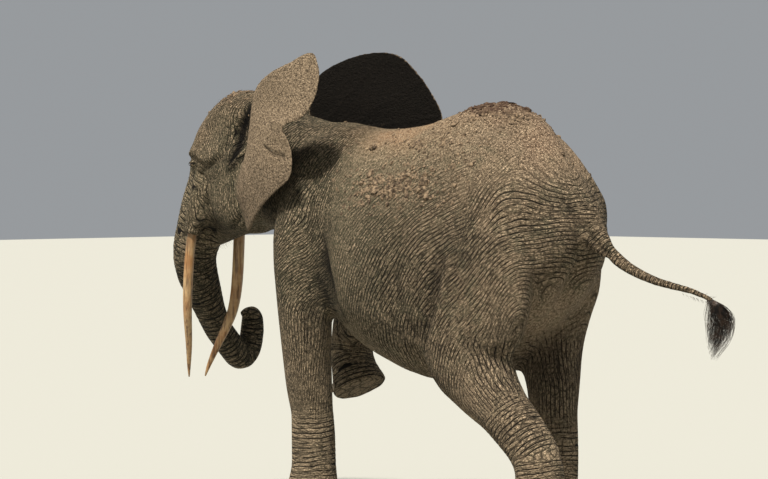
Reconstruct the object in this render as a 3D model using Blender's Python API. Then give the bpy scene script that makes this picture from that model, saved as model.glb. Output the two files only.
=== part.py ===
"""African elephant walking, life size: solids of the body, ears, tusks, eyes and nails.

The elephant faces -X, its left side is toward -Y, and +Z is up.  The left fore foot
and the right hind foot carry it, the left hind foot rests on its toes and the right
fore foot is lifted.  The flesh is modelled whole from lofted masses, fused, and then
parted with thin cuts.  Units are metres.
"""

import math

import bmesh
import bpy
import numpy as np
from mathutils import Matrix, Vector
from mathutils.geometry import delaunay_2d_cdt

# Driving dimensions of the animal
GAP = 0.0003            # air between neighbouring solids
CUT = 0.0004            # thickness of the thin cuts that part the flesh
VOXEL = 0.015           # grain at which the flesh is fused
EASE_STEPS = 14         # smoothing steps that blend the fused masses
FLESH_FACES = 2980      # triangles kept on the fused flesh
EYE_AT = Vector((-1.957, 0.235, 2.125))
EYE_RADIUS = 0.022
TUSK_RADIUS = {"left": 0.032, "right": 0.038}
EAR_THICKNESS = 0.036   # at the root
EAR_MARGIN_SHARE = 0.36 # thickness left at the margin, as a share of it
FORE_NAILS = 5
HIND_NAILS = 4
RING_SIDES = 24

SKIN = (0.17, 0.145, 0.115)
EAR_SKIN = (0.21, 0.18, 0.145)
IVORY = (0.72, 0.56, 0.36)
HORN = (0.24, 0.20, 0.16)
BRISTLE = (0.025, 0.022, 0.02)
EYE_BROWN = (0.06, 0.03, 0.015)


def clear_scene():
    for thing in list(bpy.data.objects):
        bpy.data.objects.remove(thing)


def material(name, colour, roughness):
    made = bpy.data.materials.new(name)
    made.use_nodes = True
    shader = made.node_tree.nodes["Principled BSDF"]
    shader.inputs["Base Color"].default_value = (*colour, 1.0)
    shader.inputs["Roughness"].default_value = roughness
    shader.inputs["Metallic"].default_value = 0.0
    return made


def mesh_object(name, bm, made):
    bmesh.ops.recalc_face_normals(bm, faces=bm.faces)
    mesh = bpy.data.meshes.new(name)
    bm.to_mesh(mesh)
    bm.free()
    mesh.shade_smooth()
    if made:
        mesh.materials.append(made)
    thing = bpy.data.objects.new(name, mesh)
    bpy.context.scene.collection.objects.link(thing)
    return thing


def apply_modifiers(thing):
    """Replace a helper's mesh by its evaluated one, so that the next step can use it."""
    graph = bpy.context.evaluated_depsgraph_get()
    graph.update()
    mesh = bpy.data.meshes.new_from_object(thing.evaluated_get(graph))
    thing.modifiers.clear()
    thing.data = mesh


def smooth_path(points, steps):
    """Catmull-Rom curve through points of any width, with some steps to a span."""
    ends = [2 * points[0] - points[1]] + list(points) + [2 * points[-1] - points[-2]]
    path = []
    for a, b, c, d in zip(ends, ends[1:], ends[2:], ends[3:]):
        for i in range(steps):
            t = i / steps
            path.append(0.5 * ((2 * b) + (c - a) * t + (2 * a - 5 * b + 4 * c - d) * t * t
                               + (3 * b - a - 3 * c + d) * t ** 3))
    path.append(points[-1].copy())
    return path


def loft(bm, rings):
    """Join closed rings of points, first to last, and cap both ends."""
    loops = []
    for ring in rings:
        verts = [bm.verts.new(point) for point in ring]
        loops.append([bm.edges.new((verts[i], verts[i - 1])) for i in range(len(verts))])
    for one, other in zip(loops, loops[1:]):
        bmesh.ops.bridge_loops(bm, edges=one + other)
    bmesh.ops.contextual_create(bm, geom=loops[0])
    bmesh.ops.contextual_create(bm, geom=loops[-1])


def tube(bm, stations, steps=4, sides=RING_SIDES, side_hint=Vector((0, 1, 0))):
    """A limb: stations are (x, y, z, half depth, half width); width lies along Y."""
    path = smooth_path([Vector(s) for s in stations], steps)
    rings = []
    for i, place in enumerate(path):
        before = path[max(i - 1, 0)]
        after = path[min(i + 1, len(path) - 1)]
        along = (Vector(after[:3]) - Vector(before[:3])).normalized()
        deep = side_hint.cross(along).normalized()
        wide = along.cross(deep).normalized()
        ring = []
        for k in range(sides):
            turn = 2 * math.pi * k / sides
            ring.append(Vector(place[:3]) + deep * place[3] * math.cos(turn)
                        + wide * place[4] * math.sin(turn))
        rings.append(ring)
    loft(bm, rings)


def slices(bm, stations, upright, steps=4, sides=RING_SIDES):
    """A mass built of level or upright slices.

    Upright slices are (x, top, bottom, half width, narrowing of the top).
    Level slices are (z, middle x, half length, half width, narrowing of the front).
    """
    rings = []
    for place, one, two, wide, narrow in smooth_path([Vector(s) for s in stations], steps):
        ring = []
        for k in range(sides):
            turn = 2 * math.pi * k / sides
            across = wide * math.sin(turn) * (1 - narrow * math.cos(turn))
            if upright:
                ring.append(Vector((place, across, (one + two) / 2 + (one - two) / 2 * math.cos(turn))))
            else:
                ring.append(Vector((one - two * math.cos(turn), across, place)))
        rings.append(ring)
    loft(bm, rings)


def ball(bm, centre, size, turn_y=0.0, turn_x=0.0, turn_z=0.0):
    """An ellipsoid of half sizes size, turned about X, Y and Z in that order."""
    turn = (Matrix.Rotation(turn_z, 4, "Z") @ Matrix.Rotation(turn_y, 4, "Y")
            @ Matrix.Rotation(turn_x, 4, "X"))
    where = Matrix.Translation(centre) @ turn @ Matrix.Diagonal((*size, 1.0))
    bmesh.ops.create_icosphere(bm, subdivisions=3, radius=1.0, matrix=where)


def torso(bm):
    """Barrel with a roof-shaped back, saddle behind the shoulder and high rump."""
    slices(bm, [(-1.12, 2.37, 1.68, 0.20, 0.10),
                (-0.98, 2.39, 1.42, 0.31, 0.15),
                (-0.74, 2.385, 1.19, 0.43, 0.20),
                (-0.42, 2.345, 0.98, 0.54, 0.22),
                (-0.06, 2.375, 0.845, 0.60, 0.24),
                (0.24, 2.455, 0.81, 0.60, 0.26),
                (0.50, 2.50, 0.88, 0.55, 0.28),
                (0.78, 2.42, 1.10, 0.47, 0.26),
                (1.02, 2.17, 1.32, 0.36, 0.20),
                (1.15, 1.97, 1.50, 0.23, 0.10),
                (1.21, 1.84, 1.64, 0.11, 0.0)], upright=True)
    for side in (-1, 1):
        ball(bm, (-0.82, side * 0.25, 1.92), (0.27, 0.155, 0.40), turn_x=side * 0.22)
        ball(bm, (0.66, side * 0.27, 1.90), (0.42, 0.215, 0.44), turn_x=side * 0.2)
        ball(bm, (0.44, side * 0.29, 2.12), (0.22, 0.12, 0.17))


def neck(bm):
    slices(bm, [(-0.80, 2.36, 1.42, 0.36, 0.22),
                (-1.05, 2.41, 1.60, 0.345, 0.22),
                (-1.28, 2.46, 1.69, 0.31, 0.20),
                (-1.55, 2.48, 1.74, 0.26, 0.15)], upright=True)


def head(bm):
    """Skull in level slices, then cheeks, brows, jaw and the sheaths of the tusks."""
    slices(bm, [(1.68, -1.74, 0.17, 0.12, 0.0),
                (1.76, -1.74, 0.29, 0.20, 0.05),
                (1.90, -1.75, 0.36, 0.245, 0.06),
                (2.10, -1.745, 0.385, 0.285, 0.05),
                (2.28, -1.715, 0.395, 0.29, 0.06),
                (2.42, -1.665, 0.335, 0.27, 0.05),
                (2.52, -1.625, 0.26, 0.215, 0.0),
                (2.585, -1.61, 0.14, 0.12, 0.0)], upright=False)
    for side in (-1, 1):
        ball(bm, (-1.60, side * 0.185, 1.93), (0.24, 0.10, 0.24), turn_y=0.3)
        ball(bm, (-1.47, side * 0.16, 2.40), (0.16, 0.12, 0.13))
        ball(bm, (-1.52, side * 0.22, 2.14), (0.13, 0.09, 0.20))
        ball(bm, (-1.90, side * 0.213, 2.165), (0.17, 0.065, 0.045), turn_y=0.3, turn_z=side * 0.22)
        tube(bm, [(-1.84, side * 0.155, 2.05, 0.14, 0.11),
                  (-1.93, side * 0.178, 1.88, 0.112, 0.090),
                  (-1.98, side * 0.195, 1.76, 0.082, 0.070),
                  (-2.008, side * 0.205, 1.665, 0.058, 0.055)])
    tube(bm, [(-1.66, 0, 1.88, 0.17, 0.22),
              (-1.80, 0, 1.79, 0.13, 0.17),
              (-1.93, 0, 1.70, 0.09, 0.10),
              (-2.03, 0, 1.625, 0.05, 0.055)])


# The trunk hangs before the tusks, swings to the animal's right and curls up at its tip
TRUNK = [(-1.925, 0.0, 2.17, 0.21, 0.215),
         (-1.985, 0.0, 2.00, 0.19, 0.195),
         (-2.07, 0.0, 1.84, 0.18, 0.185),
         (-2.15, 0.0, 1.69, 0.160, 0.165),
         (-2.215, 0.01, 1.55, 0.144, 0.147),
         (-2.245, 0.06, 1.42, 0.136, 0.138),
         (-2.27, 0.145, 1.285, 0.119, 0.119),
         (-2.295, 0.23, 1.15, 0.102, 0.102),
         (-2.31, 0.32, 1.03, 0.094, 0.094),
         (-2.31, 0.435, 0.91, 0.092, 0.092),
         (-2.325, 0.51, 0.855, 0.088, 0.088),
         (-2.32, 0.575, 0.89, 0.086, 0.086),
         (-2.305, 0.597, 0.985, 0.083, 0.083),
         (-2.29, 0.594, 1.07, 0.079, 0.079),
         (-2.28, 0.577, 1.13, 0.074, 0.074)]
TRUNK_CUTS = (4, 6, 8)


def trunk(bm):
    tube(bm, TRUNK, side_hint=Vector((1, 0, 0)))
    ball(bm, (-2.275, 0.565, 1.155), (0.068, 0.062, 0.045))
    ball(bm, (-2.275, 0.497, 1.145), (0.036, 0.042, 0.030), turn_x=-0.1)


SHOULDER = [(-0.80, 0.16, 2.16, 0.16, 0.08),
            (-0.82, 0.28, 1.94, 0.22, 0.14),
            (-0.835, 0.345, 1.74, 0.21, 0.155),
            (-0.84, 0.36, 1.56, 0.19, 0.16)]
LEFT_FORELEG = [(-0.835, 0.355, 1.40, 0.18, 0.16),
                (-0.83, 0.335, 1.20, 0.178, 0.16),
                (-0.85, 0.30, 0.96, 0.16, 0.15),
                (-0.86, 0.27, 0.76, 0.148, 0.143),
                (-0.855, 0.25, 0.60, 0.136, 0.132),
                (-0.855, 0.24, 0.46, 0.142, 0.137),
                (-0.86, 0.23, 0.28, 0.142, 0.138),
                (-0.875, 0.225, 0.13, 0.168, 0.158),
                (-0.885, 0.225, -0.05, 0.19, 0.176)]
RIGHT_FORELEG = [(-0.79, 0.36, 1.42, 0.185, 0.16),
                 (-0.86, 0.35, 1.27, 0.165, 0.155),
                 (-1.03, 0.335, 1.14, 0.18, 0.155),
                 (-1.085, 0.325, 1.03, 0.138, 0.135),
                 (-1.09, 0.32, 0.93, 0.140, 0.135),
                 (-1.05, 0.312, 0.82, 0.155, 0.148),
                 (-0.995, 0.305, 0.71, 0.195, 0.178)]


def forelegs(bm):
    """The left carries weight and leans inward; the right is lifted, its wrist bent."""
    tube(bm, [(x, -y, z, a, b) for x, y, z, a, b in SHOULDER + LEFT_FORELEG])
    tube(bm, SHOULDER + RIGHT_FORELEG)


LEFT_HINDLEG = [(0.63, 0.10, 2.16, 0.20, 0.08),
                (0.62, 0.28, 1.88, 0.36, 0.18),
                (0.645, 0.355, 1.56, 0.42, 0.215),
                (0.66, 0.375, 1.28, 0.385, 0.205),
                (0.585, 0.385, 1.06, 0.315, 0.19),
                (0.715, 0.385, 0.87, 0.245, 0.17),
                (0.88, 0.38, 0.70, 0.17, 0.155),
                (1.03, 0.375, 0.56, 0.155, 0.145),
                (1.14, 0.37, 0.42, 0.15, 0.14),
                (1.16, 0.365, 0.27, 0.152, 0.145),
                (1.11, 0.36, 0.12, 0.155, 0.15),
                (1.06, 0.36, -0.01, 0.12, 0.135)]
RIGHT_HINDLEG = [(0.60, 0.10, 2.16, 0.20, 0.08),
                 (0.58, 0.27, 1.88, 0.36, 0.18),
                 (0.565, 0.335, 1.56, 0.41, 0.21),
                 (0.555, 0.345, 1.28, 0.365, 0.20),
                 (0.60, 0.33, 1.03, 0.235, 0.178),
                 (0.65, 0.30, 0.83, 0.175, 0.158),
                 (0.675, 0.28, 0.64, 0.153, 0.143),
                 (0.70, 0.27, 0.46, 0.143, 0.137),
                 (0.70, 0.265, 0.30, 0.146, 0.14),
                 (0.685, 0.26, 0.14, 0.158, 0.15),
                 (0.675, 0.26, -0.05, 0.175, 0.162)]


def hindlegs(bm):
    """The right carries weight; the left has its knee bent and heel raised."""
    tube(bm, [(x, -y, z, a, b) for x, y, z, a, b in LEFT_HINDLEG])
    tube(bm, RIGHT_HINDLEG)


# The tail springs from the end of the croup and is flung back; its tuft hangs
TAIL_ROOT = [(1.00, 0.0, 1.98, 0.11, 0.12),
             (1.14, 0.0, 1.86, 0.10, 0.112),
             (1.25, 0.005, 1.725, 0.078, 0.085),
             (1.345, 0.025, 1.618, 0.050, 0.052),
             (1.41, 0.04, 1.563, 0.045, 0.045)]
TAIL_STALK = [(1.325, 0.021, 1.636, 0.046, 0.046),
              (1.38, 0.033, 1.590, 0.043, 0.043),
              (1.48, 0.055, 1.522, 0.036, 0.036),
              (1.655, 0.095, 1.450, 0.029, 0.029),
              (1.87, 0.15, 1.400, 0.023, 0.023),
              (2.00, 0.19, 1.345, 0.019, 0.019)]
TUFT = [(2.005, 0.1915, 1.338, 0.018, 0.016),
        (2.035, 0.205, 1.27, 0.034, 0.028),
        (2.07, 0.225, 1.19, 0.060, 0.042),
        (2.065, 0.222, 1.11, 0.062, 0.040),
        (2.03, 0.205, 1.03, 0.040, 0.025),
        (2.015, 0.195, 0.985, 0.008, 0.008)]


def tail_root(bm):
    tube(bm, TAIL_ROOT)


# Where the flesh is hollowed (or, with a negative depth, raised): place on the right
# side, reach, depth toward the middle plane or along the given direction
INWARD = Vector((0, -1, 0))
BACKWARD = Vector((1, 0, 0))
INTO_CROUP = Vector((-0.6, -0.5, -0.62))
HOLLOWS = [((-1.74, 0.30, 2.33), (0.13, 0.10, 0.10), 0.045, INWARD),      # temple
           ((-1.957, 0.26, 2.125), (0.05, 0.08, 0.03), 0.012, INWARD),   # eye socket
           ((-1.80, 0.27, 2.03), (0.11, 0.10, 0.06), 0.022, INWARD),      # under the cheekbone
           ((-1.86, 0.25, 1.80), (0.05, 0.10, 0.13), 0.040, INWARD),      # corner of the mouth
           ((-1.42, 0.32, 2.05), (0.08, 0.12, 0.25), 0.050, INWARD),      # behind the jaw
           ((-1.475, 0.30, 2.31), (0.085, 0.14, 0.17), 0.085, INWARD),    # before the ear
           ((-2.10, 0.0, 2.12), (0.06, 0.16, 0.06), 0.012, BACKWARD),     # above the trunk
           ((-1.08, 0.36, 1.95), (0.08, 0.12, 0.30), 0.030, INWARD),      # before the shoulder
           ((-0.55, 0.48, 1.75), (0.09, 0.14, 0.30), 0.022, INWARD),      # behind the shoulder
           ((-0.49, 0.50, 1.38), (0.12, 0.20, 0.27), 0.060, INWARD),      # behind the elbow
           ((0.22, 0.60, 1.55), (0.09, 0.16, 0.45), 0.028, INWARD),       # flank
           ((0.30, 0.50, 2.15), (0.14, 0.18, 0.10), 0.020, INWARD),       # loin before the hip
           ((0.92, 0.30, 2.02), (0.14, 0.14, 0.12), 0.030, INWARD),       # beside the tail root
           ((0.90, 0.28, 2.14), (0.22, 0.22, 0.20), 0.060, INTO_CROUP),   # slope of the croup
           ((1.12, 0.0, 1.42), (0.16, 0.07, 0.30), -0.075, BACKWARD)]     # between the buttocks


def press(body, hollows):
    """Push the flesh in where it is hollow, on both sides, fading with distance."""
    count = len(body.data.vertices)
    flat = np.empty(count * 3)
    body.data.vertices.foreach_get("co", flat)
    points = flat.reshape(count, 3)
    for centre, reach, depth, way in hollows:
        for side in ((1,) if centre[1] == 0 else (1, -1)):
            mirror = np.array([1.0, side, 1.0])
            away = (points - np.array(centre) * mirror) / np.array(reach)
            fade = np.exp(-(away ** 2).sum(axis=1))
            points += fade[:, None] * depth * np.array(way) * mirror
    body.data.vertices.foreach_set("co", points.reshape(-1))
    body.data.update()


def flesh():
    """All soft masses joined, fused at the voxel size, eased, hollowed and thinned out."""
    bm = bmesh.new()
    for mass in (torso, neck, head, trunk, forelegs, hindlegs, tail_root):
        mass(bm)
    body = mesh_object("flesh", bm, None)
    remesh = body.modifiers.new("fuse", "REMESH")
    remesh.mode = "VOXEL"
    remesh.voxel_size = VOXEL
    ease = body.modifiers.new("ease", "SMOOTH")
    ease.factor = 0.5
    ease.iterations = EASE_STEPS
    apply_modifiers(body)
    press(body, HOLLOWS)
    body.data.calc_loop_triangles()
    thin = body.modifiers.new("thin", "DECIMATE")
    thin.ratio = FLESH_FACES / len(body.data.loop_triangles)
    apply_modifiers(body)
    return body


def helper(name, bm):
    """A cutter: never part of the model."""
    cutter = mesh_object(name, bm, None)
    cutter.hide_render = True
    cutter.display_type = "WIRE"
    return cutter


def cut(thing, cutter):
    """Take the cutter's space out of a solid, for good, and drop the cutter."""
    knife = thing.modifiers.new("cut", "BOOLEAN")
    knife.operation = "DIFFERENCE"
    knife.object = cutter
    apply_modifiers(thing)
    bpy.data.objects.remove(cutter)


def swollen(thing, by):
    """A copy of a solid, a little larger all round, to cut its neighbours with."""
    copy = thing.copy()
    copy.data = thing.data.copy()
    bpy.context.scene.collection.objects.link(copy)
    copy.hide_render = True
    copy.display_type = "WIRE"
    grow = copy.modifiers.new("grow", "DISPLACE")
    grow.strength = by
    grow.mid_level = 0.0
    apply_modifiers(copy)
    return copy


def axis_at(stations, index):
    """Place and direction of a limb's middle line at one of its stations."""
    before = Vector(stations[max(index - 1, 0)][:3])
    after = Vector(stations[min(index + 1, len(stations) - 1)][:3])
    return Vector(stations[index][:3]), (after - before).normalized()


def dome(centre, size):
    """A thin open dome over the top of a leg, so that the leg leaves it below its rim."""
    bm = bmesh.new()
    bmesh.ops.create_uvsphere(bm, u_segments=16, v_segments=8, radius=1.0,
                              matrix=Matrix.Diagonal((*size, 1.0)))
    bmesh.ops.bisect_plane(bm, geom=bm.verts[:] + bm.edges[:] + bm.faces[:], dist=1e-5,
                           plane_co=(0, 0, 0), plane_no=(0, 0, -1), clear_outer=True)
    bmesh.ops.translate(bm, verts=bm.verts, vec=centre)
    shell = helper("dome", bm)
    wall = shell.modifiers.new("wall", "SOLIDIFY")
    wall.thickness = CUT
    wall.offset = 0
    return shell


def plate(centre, normal, radius, thick=CUT):
    """A round plate, square to a limb and by default as thin as a cut."""
    turn = Vector((0, 0, 1)).rotation_difference(Vector(normal)).to_matrix().to_4x4()
    bm = bmesh.new()
    bmesh.ops.create_cone(bm, cap_ends=True, segments=32, radius1=radius, radius2=radius,
                          depth=thick, matrix=Matrix.Translation(centre) @ turn)
    return helper("plate", bm)


def part_flesh(body):
    """Cut the fused flesh into the parts that a person would name."""
    floor = bmesh.new()
    bmesh.ops.create_cube(floor, size=1.0, matrix=Matrix.Translation((0, 0, -0.5))
                          @ Matrix.Diagonal((4, 3, 1, 1)))
    cut(body, helper("floor", floor))
    cut(body, dome((-0.84, -0.40, 0.98), (0.30, 0.32, 0.72)))
    cut(body, dome((-0.92, 0.40, 0.98), (0.42, 0.32, 0.72)))
    cut(body, dome((0.68, -0.42, 0.80), (0.48, 0.36, 0.95)))
    cut(body, dome((0.60, 0.42, 0.80), (0.44, 0.36, 0.95)))
    cut(body, plate((-1.36, 0, 2.05), (1, 0, 0.22), 0.60))
    cut(body, plate((-1.10, 0, 2.02), (1, 0, -0.10), 0.60))
    for index in TRUNK_CUTS:
        place, along = axis_at(TRUNK, index)
        cut(body, plate(place, along, 1.25 * TRUNK[index][4]))
    for stations, index, side in ((LEFT_FORELEG, 5, -1), (RIGHT_FORELEG, 3, 1),
                                  (LEFT_HINDLEG, 8, -1), (RIGHT_HINDLEG, 7, 1)):
        place, along = axis_at(stations, index)
        mirror = Vector((1, side, 1))
        cut(body, plate(place * mirror, along * mirror, 0.22))
    place, along = axis_at(TAIL_ROOT, 3)
    cut(body, plate(place + along * 0.06, along, 0.12, thick=0.12))


# A place inside each part of the flesh, by which the cut pieces are told apart
FLESH_SEEDS = {"trunk_upper": (-2.25, 0.06, 1.42), "trunk_middle": (-2.30, 0.23, 1.16),
               "trunk_tip": (-2.32, 0.50, 0.95), "head": (-1.75, 0, 2.1), "neck": (-1.22, 0, 2.05),
               "torso": (0.1, 0, 1.7), "foreleg_left": (-0.85, -0.32, 0.95),
               "foreleg_right": (-0.92, 0.35, 1.2), "forefoot_left": (-0.87, -0.23, 0.2),
               "forefoot_right": (-1.04, 0.31, 0.8), "hindleg_left": (0.72, -0.38, 1.0),
               "hindleg_right": (0.58, 0.33, 1.0), "hindfoot_left": (1.13, -0.36, 0.2),
               "hindfoot_right": (0.69, 0.265, 0.2)}
TAIL_SEEDS = {"tail": (1.5, 0.06, 1.51), "tail_end": (1.83, 0.14, 1.41)}


def loose_parts(body, seeds, made):
    """Each closed piece of a parted body becomes the object whose seed is nearest."""
    bm = bmesh.new()
    bm.from_mesh(body.data)
    bm.verts.ensure_lookup_table()
    seen = set()
    for start in bm.verts:
        if start in seen:
            continue
        group = {start}
        open_ends = [start]
        while open_ends:
            for edge in open_ends.pop().link_edges:
                for vert in edge.verts:
                    if vert not in group:
                        group.add(vert)
                        open_ends.append(vert)
        seen |= group
        piece = bm.copy()
        piece.verts.ensure_lookup_table()
        keep = {vert.index for vert in group}
        bmesh.ops.delete(piece, geom=[v for v in piece.verts if v.index not in keep], context="VERTS")
        middle = sum((v.co for v in piece.verts), Vector()) / len(piece.verts)
        name = min(seeds, key=lambda n: (Vector(seeds[n]) - middle).length)
        mesh_object(name, piece, made)
    bm.free()
    bpy.data.objects.remove(body)


# Margins of the ears, from the top of the root round to its foot: distance from the
# root along the ear, and height.  The left one is folded in at the middle.
EAR_MARGIN = {"left": [(0.15, 2.60), (0.39, 2.68), (0.67, 2.752), (0.87, 2.815), (0.95, 2.75),
                       (0.975, 2.65), (0.96, 2.55), (0.925, 2.48), (0.84, 2.39), (0.66, 2.35),
                       (0.72, 2.28), (0.745, 2.18), (0.75, 2.09), (0.71, 2.01), (0.50, 1.91),
                       (0.31, 1.81), (0.11, 1.69), (0.04, 1.79), (-0.025, 1.92), (-0.05, 2.04)],
              "right": [(-0.02, 2.60), (0.09, 2.73), (0.25, 2.81), (0.41, 2.835), (0.58, 2.815),
                        (0.73, 2.70), (0.855, 2.555), (0.93, 2.44), (0.935, 2.30), (0.88, 2.13),
                        (0.77, 2.01), (0.60, 1.93), (0.42, 1.85), (0.27, 1.76), (0.13, 1.69),
                        (0.06, 1.79), (0.0, 1.91), (-0.02, 2.04)]}
EAR_ROOT_TOP = (-1.395, 0.235, 2.51)
EAR_ROOT_FOOT = (-1.42, 0.26, 2.15)
EAR_FLARE = 0.31        # how far the margin stands out beyond the root
EAR_CUP = 0.35          # over what distance from the root it swings out
EAR_REACH = 0.94
EAR_GRAIN = 0.085       # spacing of the points inside the sheet
EAR_FOLD = {"left": 0.05, "right": 0.015}
EAR_ROOT_EDGE = {"left": (0.015, 0.015, 0.015, 0.015, 0.015),    # set back, from the foot up
                 "right": (0.015, 0.015, 0.0, -0.035, -0.045)}
EAR_LOBE = 0.085        # how far the front lobe stands off the jaw


def ear_point(side, out, height):
    """A place on the middle sheet of an ear, from its distance out and its height."""
    down = min(max((EAR_ROOT_TOP[2] - height) / (EAR_ROOT_TOP[2] - EAR_ROOT_FOOT[2]), 0), 1)
    root = Vector(EAR_ROOT_TOP).lerp(Vector(EAR_ROOT_FOOT), down)
    swing = EAR_FLARE * (1 - math.exp(-max(out, 0) / EAR_CUP)) / (1 - math.exp(-0.9 / EAR_CUP))
    fold = EAR_FOLD[side] * math.exp(-((out - 0.62) / 0.30) ** 2 - ((height - 2.33) / 0.10) ** 2)
    wave = 0.012 * math.sin(9 * height + 5 * out) * min(max(out, 0) / 0.5, 1)
    lobe = EAR_LOBE * math.exp(-(out / 0.20) ** 2 - ((height - 1.96) / 0.15) ** 2)
    away = root.y + swing + fold + wave + lobe
    return Vector((root.x + EAR_REACH * out, -away if side == "left" else away, height))


def ear(side, made):
    """A leaf from the root line to the margin, thick at the root and thin at the edge."""
    rim = smooth_path([Vector(p) for p in EAR_MARGIN[side]], 2)
    rim += [Vector((back, EAR_ROOT_FOOT[2] + 0.09 * i)) for i, back in enumerate(EAR_ROOT_EDGE[side])]
    inner = [Vector((EAR_GRAIN * (i + 0.5 * (j % 2)), 1.7 + 0.87 * EAR_GRAIN * j))
             for i in range(20) for j in range(20)]
    inner = [p for p in inner if min((p - q).length for q in rim) > 0.6 * EAR_GRAIN]
    edges = [(i, (i + 1) % len(rim)) for i in range(len(rim))]
    flat, _, faces, _, _, _ = delaunay_2d_cdt(rim + inner, edges, [], 1, 1e-5)
    bm = bmesh.new()
    verts = [bm.verts.new(ear_point(side, p.x, p.y)) for p in flat]
    for face in faces:
        bm.faces.new([verts[i] for i in face])
    bmesh.ops.delete(bm, geom=[v for v in verts if not v.link_faces], context="VERTS")
    leaf = mesh_object("ear_" + side, bm, made)
    group = leaf.vertex_groups.new(name="root")
    for vert in leaf.data.vertices:
        out = (vert.co.x - EAR_ROOT_TOP[0]) / EAR_REACH
        group.add([vert.index], math.exp(-max(out, 0) / 0.22), "REPLACE")
    thick = leaf.modifiers.new("thickness", "SOLIDIFY")
    thick.thickness = EAR_THICKNESS
    thick.offset = 0
    thick.vertex_group = "root"
    thick.thickness_vertex_group = EAR_MARGIN_SHARE
    apply_modifiers(leaf)
    return leaf


TUSK = [(-1.965, 0.188, 1.80, 0.98),
        (-2.004, 0.206, 1.665, 0.98),
        (-2.027, 0.215, 1.42, 1.0),
        (-2.053, 0.199, 1.18, 0.89),
        (-2.113, 0.132, 0.98, 0.66),
        (-2.162, 0.088, 0.83, 0.36),
        (-2.180, 0.070, 0.755, 0.10)]


def tusk(side, made):
    way = -1 if side == "left" else 1
    size = TUSK_RADIUS[side]
    bm = bmesh.new()
    tube(bm, [(x, way * y, z, size * r, size * r) for x, y, z, r in TUSK], steps=2, sides=10)
    return mesh_object("tusk_" + side, bm, made)


def eye(side, made):
    way = -1 if side == "left" else 1
    bm = bmesh.new()
    bmesh.ops.create_icosphere(bm, subdivisions=2, radius=EYE_RADIUS,
                               matrix=Matrix.Translation(EYE_AT * Vector((1, way, 1))))
    return mesh_object("eye_" + side, bm, made)


def nails(foot, count, centre, upward, half_depth, half_width, spread, made):
    """Toenails in an arc round the front of a foot, each bedded on its skin."""
    upward = Vector(upward).normalized()
    forward = (Vector((-1, 0, 0)) + upward * upward.x).normalized()
    across = upward.cross(forward)
    bed = swollen(bpy.data.objects[foot], GAP * 1.2)
    for i in range(count):
        turn = spread * (2 * i / (count - 1) - 1)
        out = forward * math.cos(turn) * half_depth + across * math.sin(turn) * half_width
        facing = (forward * math.cos(turn) / half_depth + across * math.sin(turn) / half_width).normalized()
        size = 1.0 - 0.25 * abs(2 * i / (count - 1) - 1)
        frame = Matrix((facing, upward.cross(facing), upward)).transposed().to_4x4()
        bm = bmesh.new()
        bmesh.ops.create_uvsphere(bm, u_segments=8, v_segments=6, radius=1.0,
                                  matrix=Matrix.Translation(Vector(centre) + out) @ frame
                                  @ Matrix.Diagonal((0.016, 0.036 * size, 0.040 * size, 1.0)))
        nail = mesh_object("%s_nail_%d" % (foot, i + 1), bm, made)
        knife = nail.modifiers.new("bed", "BOOLEAN")
        knife.object = bed
        apply_modifiers(nail)
    bpy.data.objects.remove(bed)


def loose_tube(name, stations, made):
    bm = bmesh.new()
    tube(bm, stations, steps=2, sides=10)
    return mesh_object(name, bm, made)


clear_scene()
skin = material("skin", SKIN, 0.85)
ear_skin = material("ear_skin", EAR_SKIN, 0.85)
ivory = material("ivory", IVORY, 0.45)
horn = material("horn", HORN, 0.6)
bristle = material("bristle", BRISTLE, 0.7)
iris = material("eye", EYE_BROWN, 0.1)

body = flesh()
part_flesh(body)
loose_parts(body, FLESH_SEEDS, skin)
for side in ("left", "right"):
    leaf = ear(side, ear_skin)
    for name in ("head", "neck"):
        cut(leaf, swollen(bpy.data.objects[name], GAP * 1.2))
    cut(bpy.data.objects["head"], swollen(tusk(side, ivory), GAP * 1.2))
    cut(bpy.data.objects["head"], swollen(eye(side, iris), GAP * 1.2))
stalk = loose_tube("stalk", TAIL_STALK, skin)
cut(stalk, swollen(bpy.data.objects["torso"], GAP * 1.2))
middle, along = axis_at(TAIL_STALK, 3)
cut(stalk, plate(middle, along, 0.10))
loose_parts(stalk, TAIL_SEEDS, skin)
cut(loose_tube("tail_tuft", TUFT, bristle), swollen(bpy.data.objects["tail_end"], GAP * 1.2))
nails("forefoot_left", FORE_NAILS, (-0.885, -0.225, 0.055), (0, 0, 1), 0.180, 0.166, 1.15, horn)
nails("forefoot_right", FORE_NAILS, (-1.015, 0.308, 0.755), (-0.34, 0, 0.94), 0.170, 0.155, 1.15, horn)
nails("hindfoot_left", HIND_NAILS, (1.072, -0.36, 0.052), (0.30, 0, 0.95), 0.135, 0.135, 0.95, horn)
nails("hindfoot_right", HIND_NAILS, (0.678, 0.26, 0.055), (0, 0, 1), 0.165, 0.152, 0.95, horn)

corners = [thing.matrix_world @ Vector(corner) for thing in bpy.data.objects for corner in thing.bound_box]
low = Vector(min(c[i] for c in corners) for i in range(3))
high = Vector(max(c[i] for c in corners) for i in range(3))
SHIFT = Vector((-(low.x + high.x) / 2, -(low.y + high.y) / 2, -low.z))
for thing in bpy.data.objects:
    thing.data.transform(Matrix.Translation(SHIFT))
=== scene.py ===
import math
import random

import bmesh
import bpy
import numpy as np
from mathutils import Matrix, Vector
from mathutils.bvhtree import BVHTree


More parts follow.
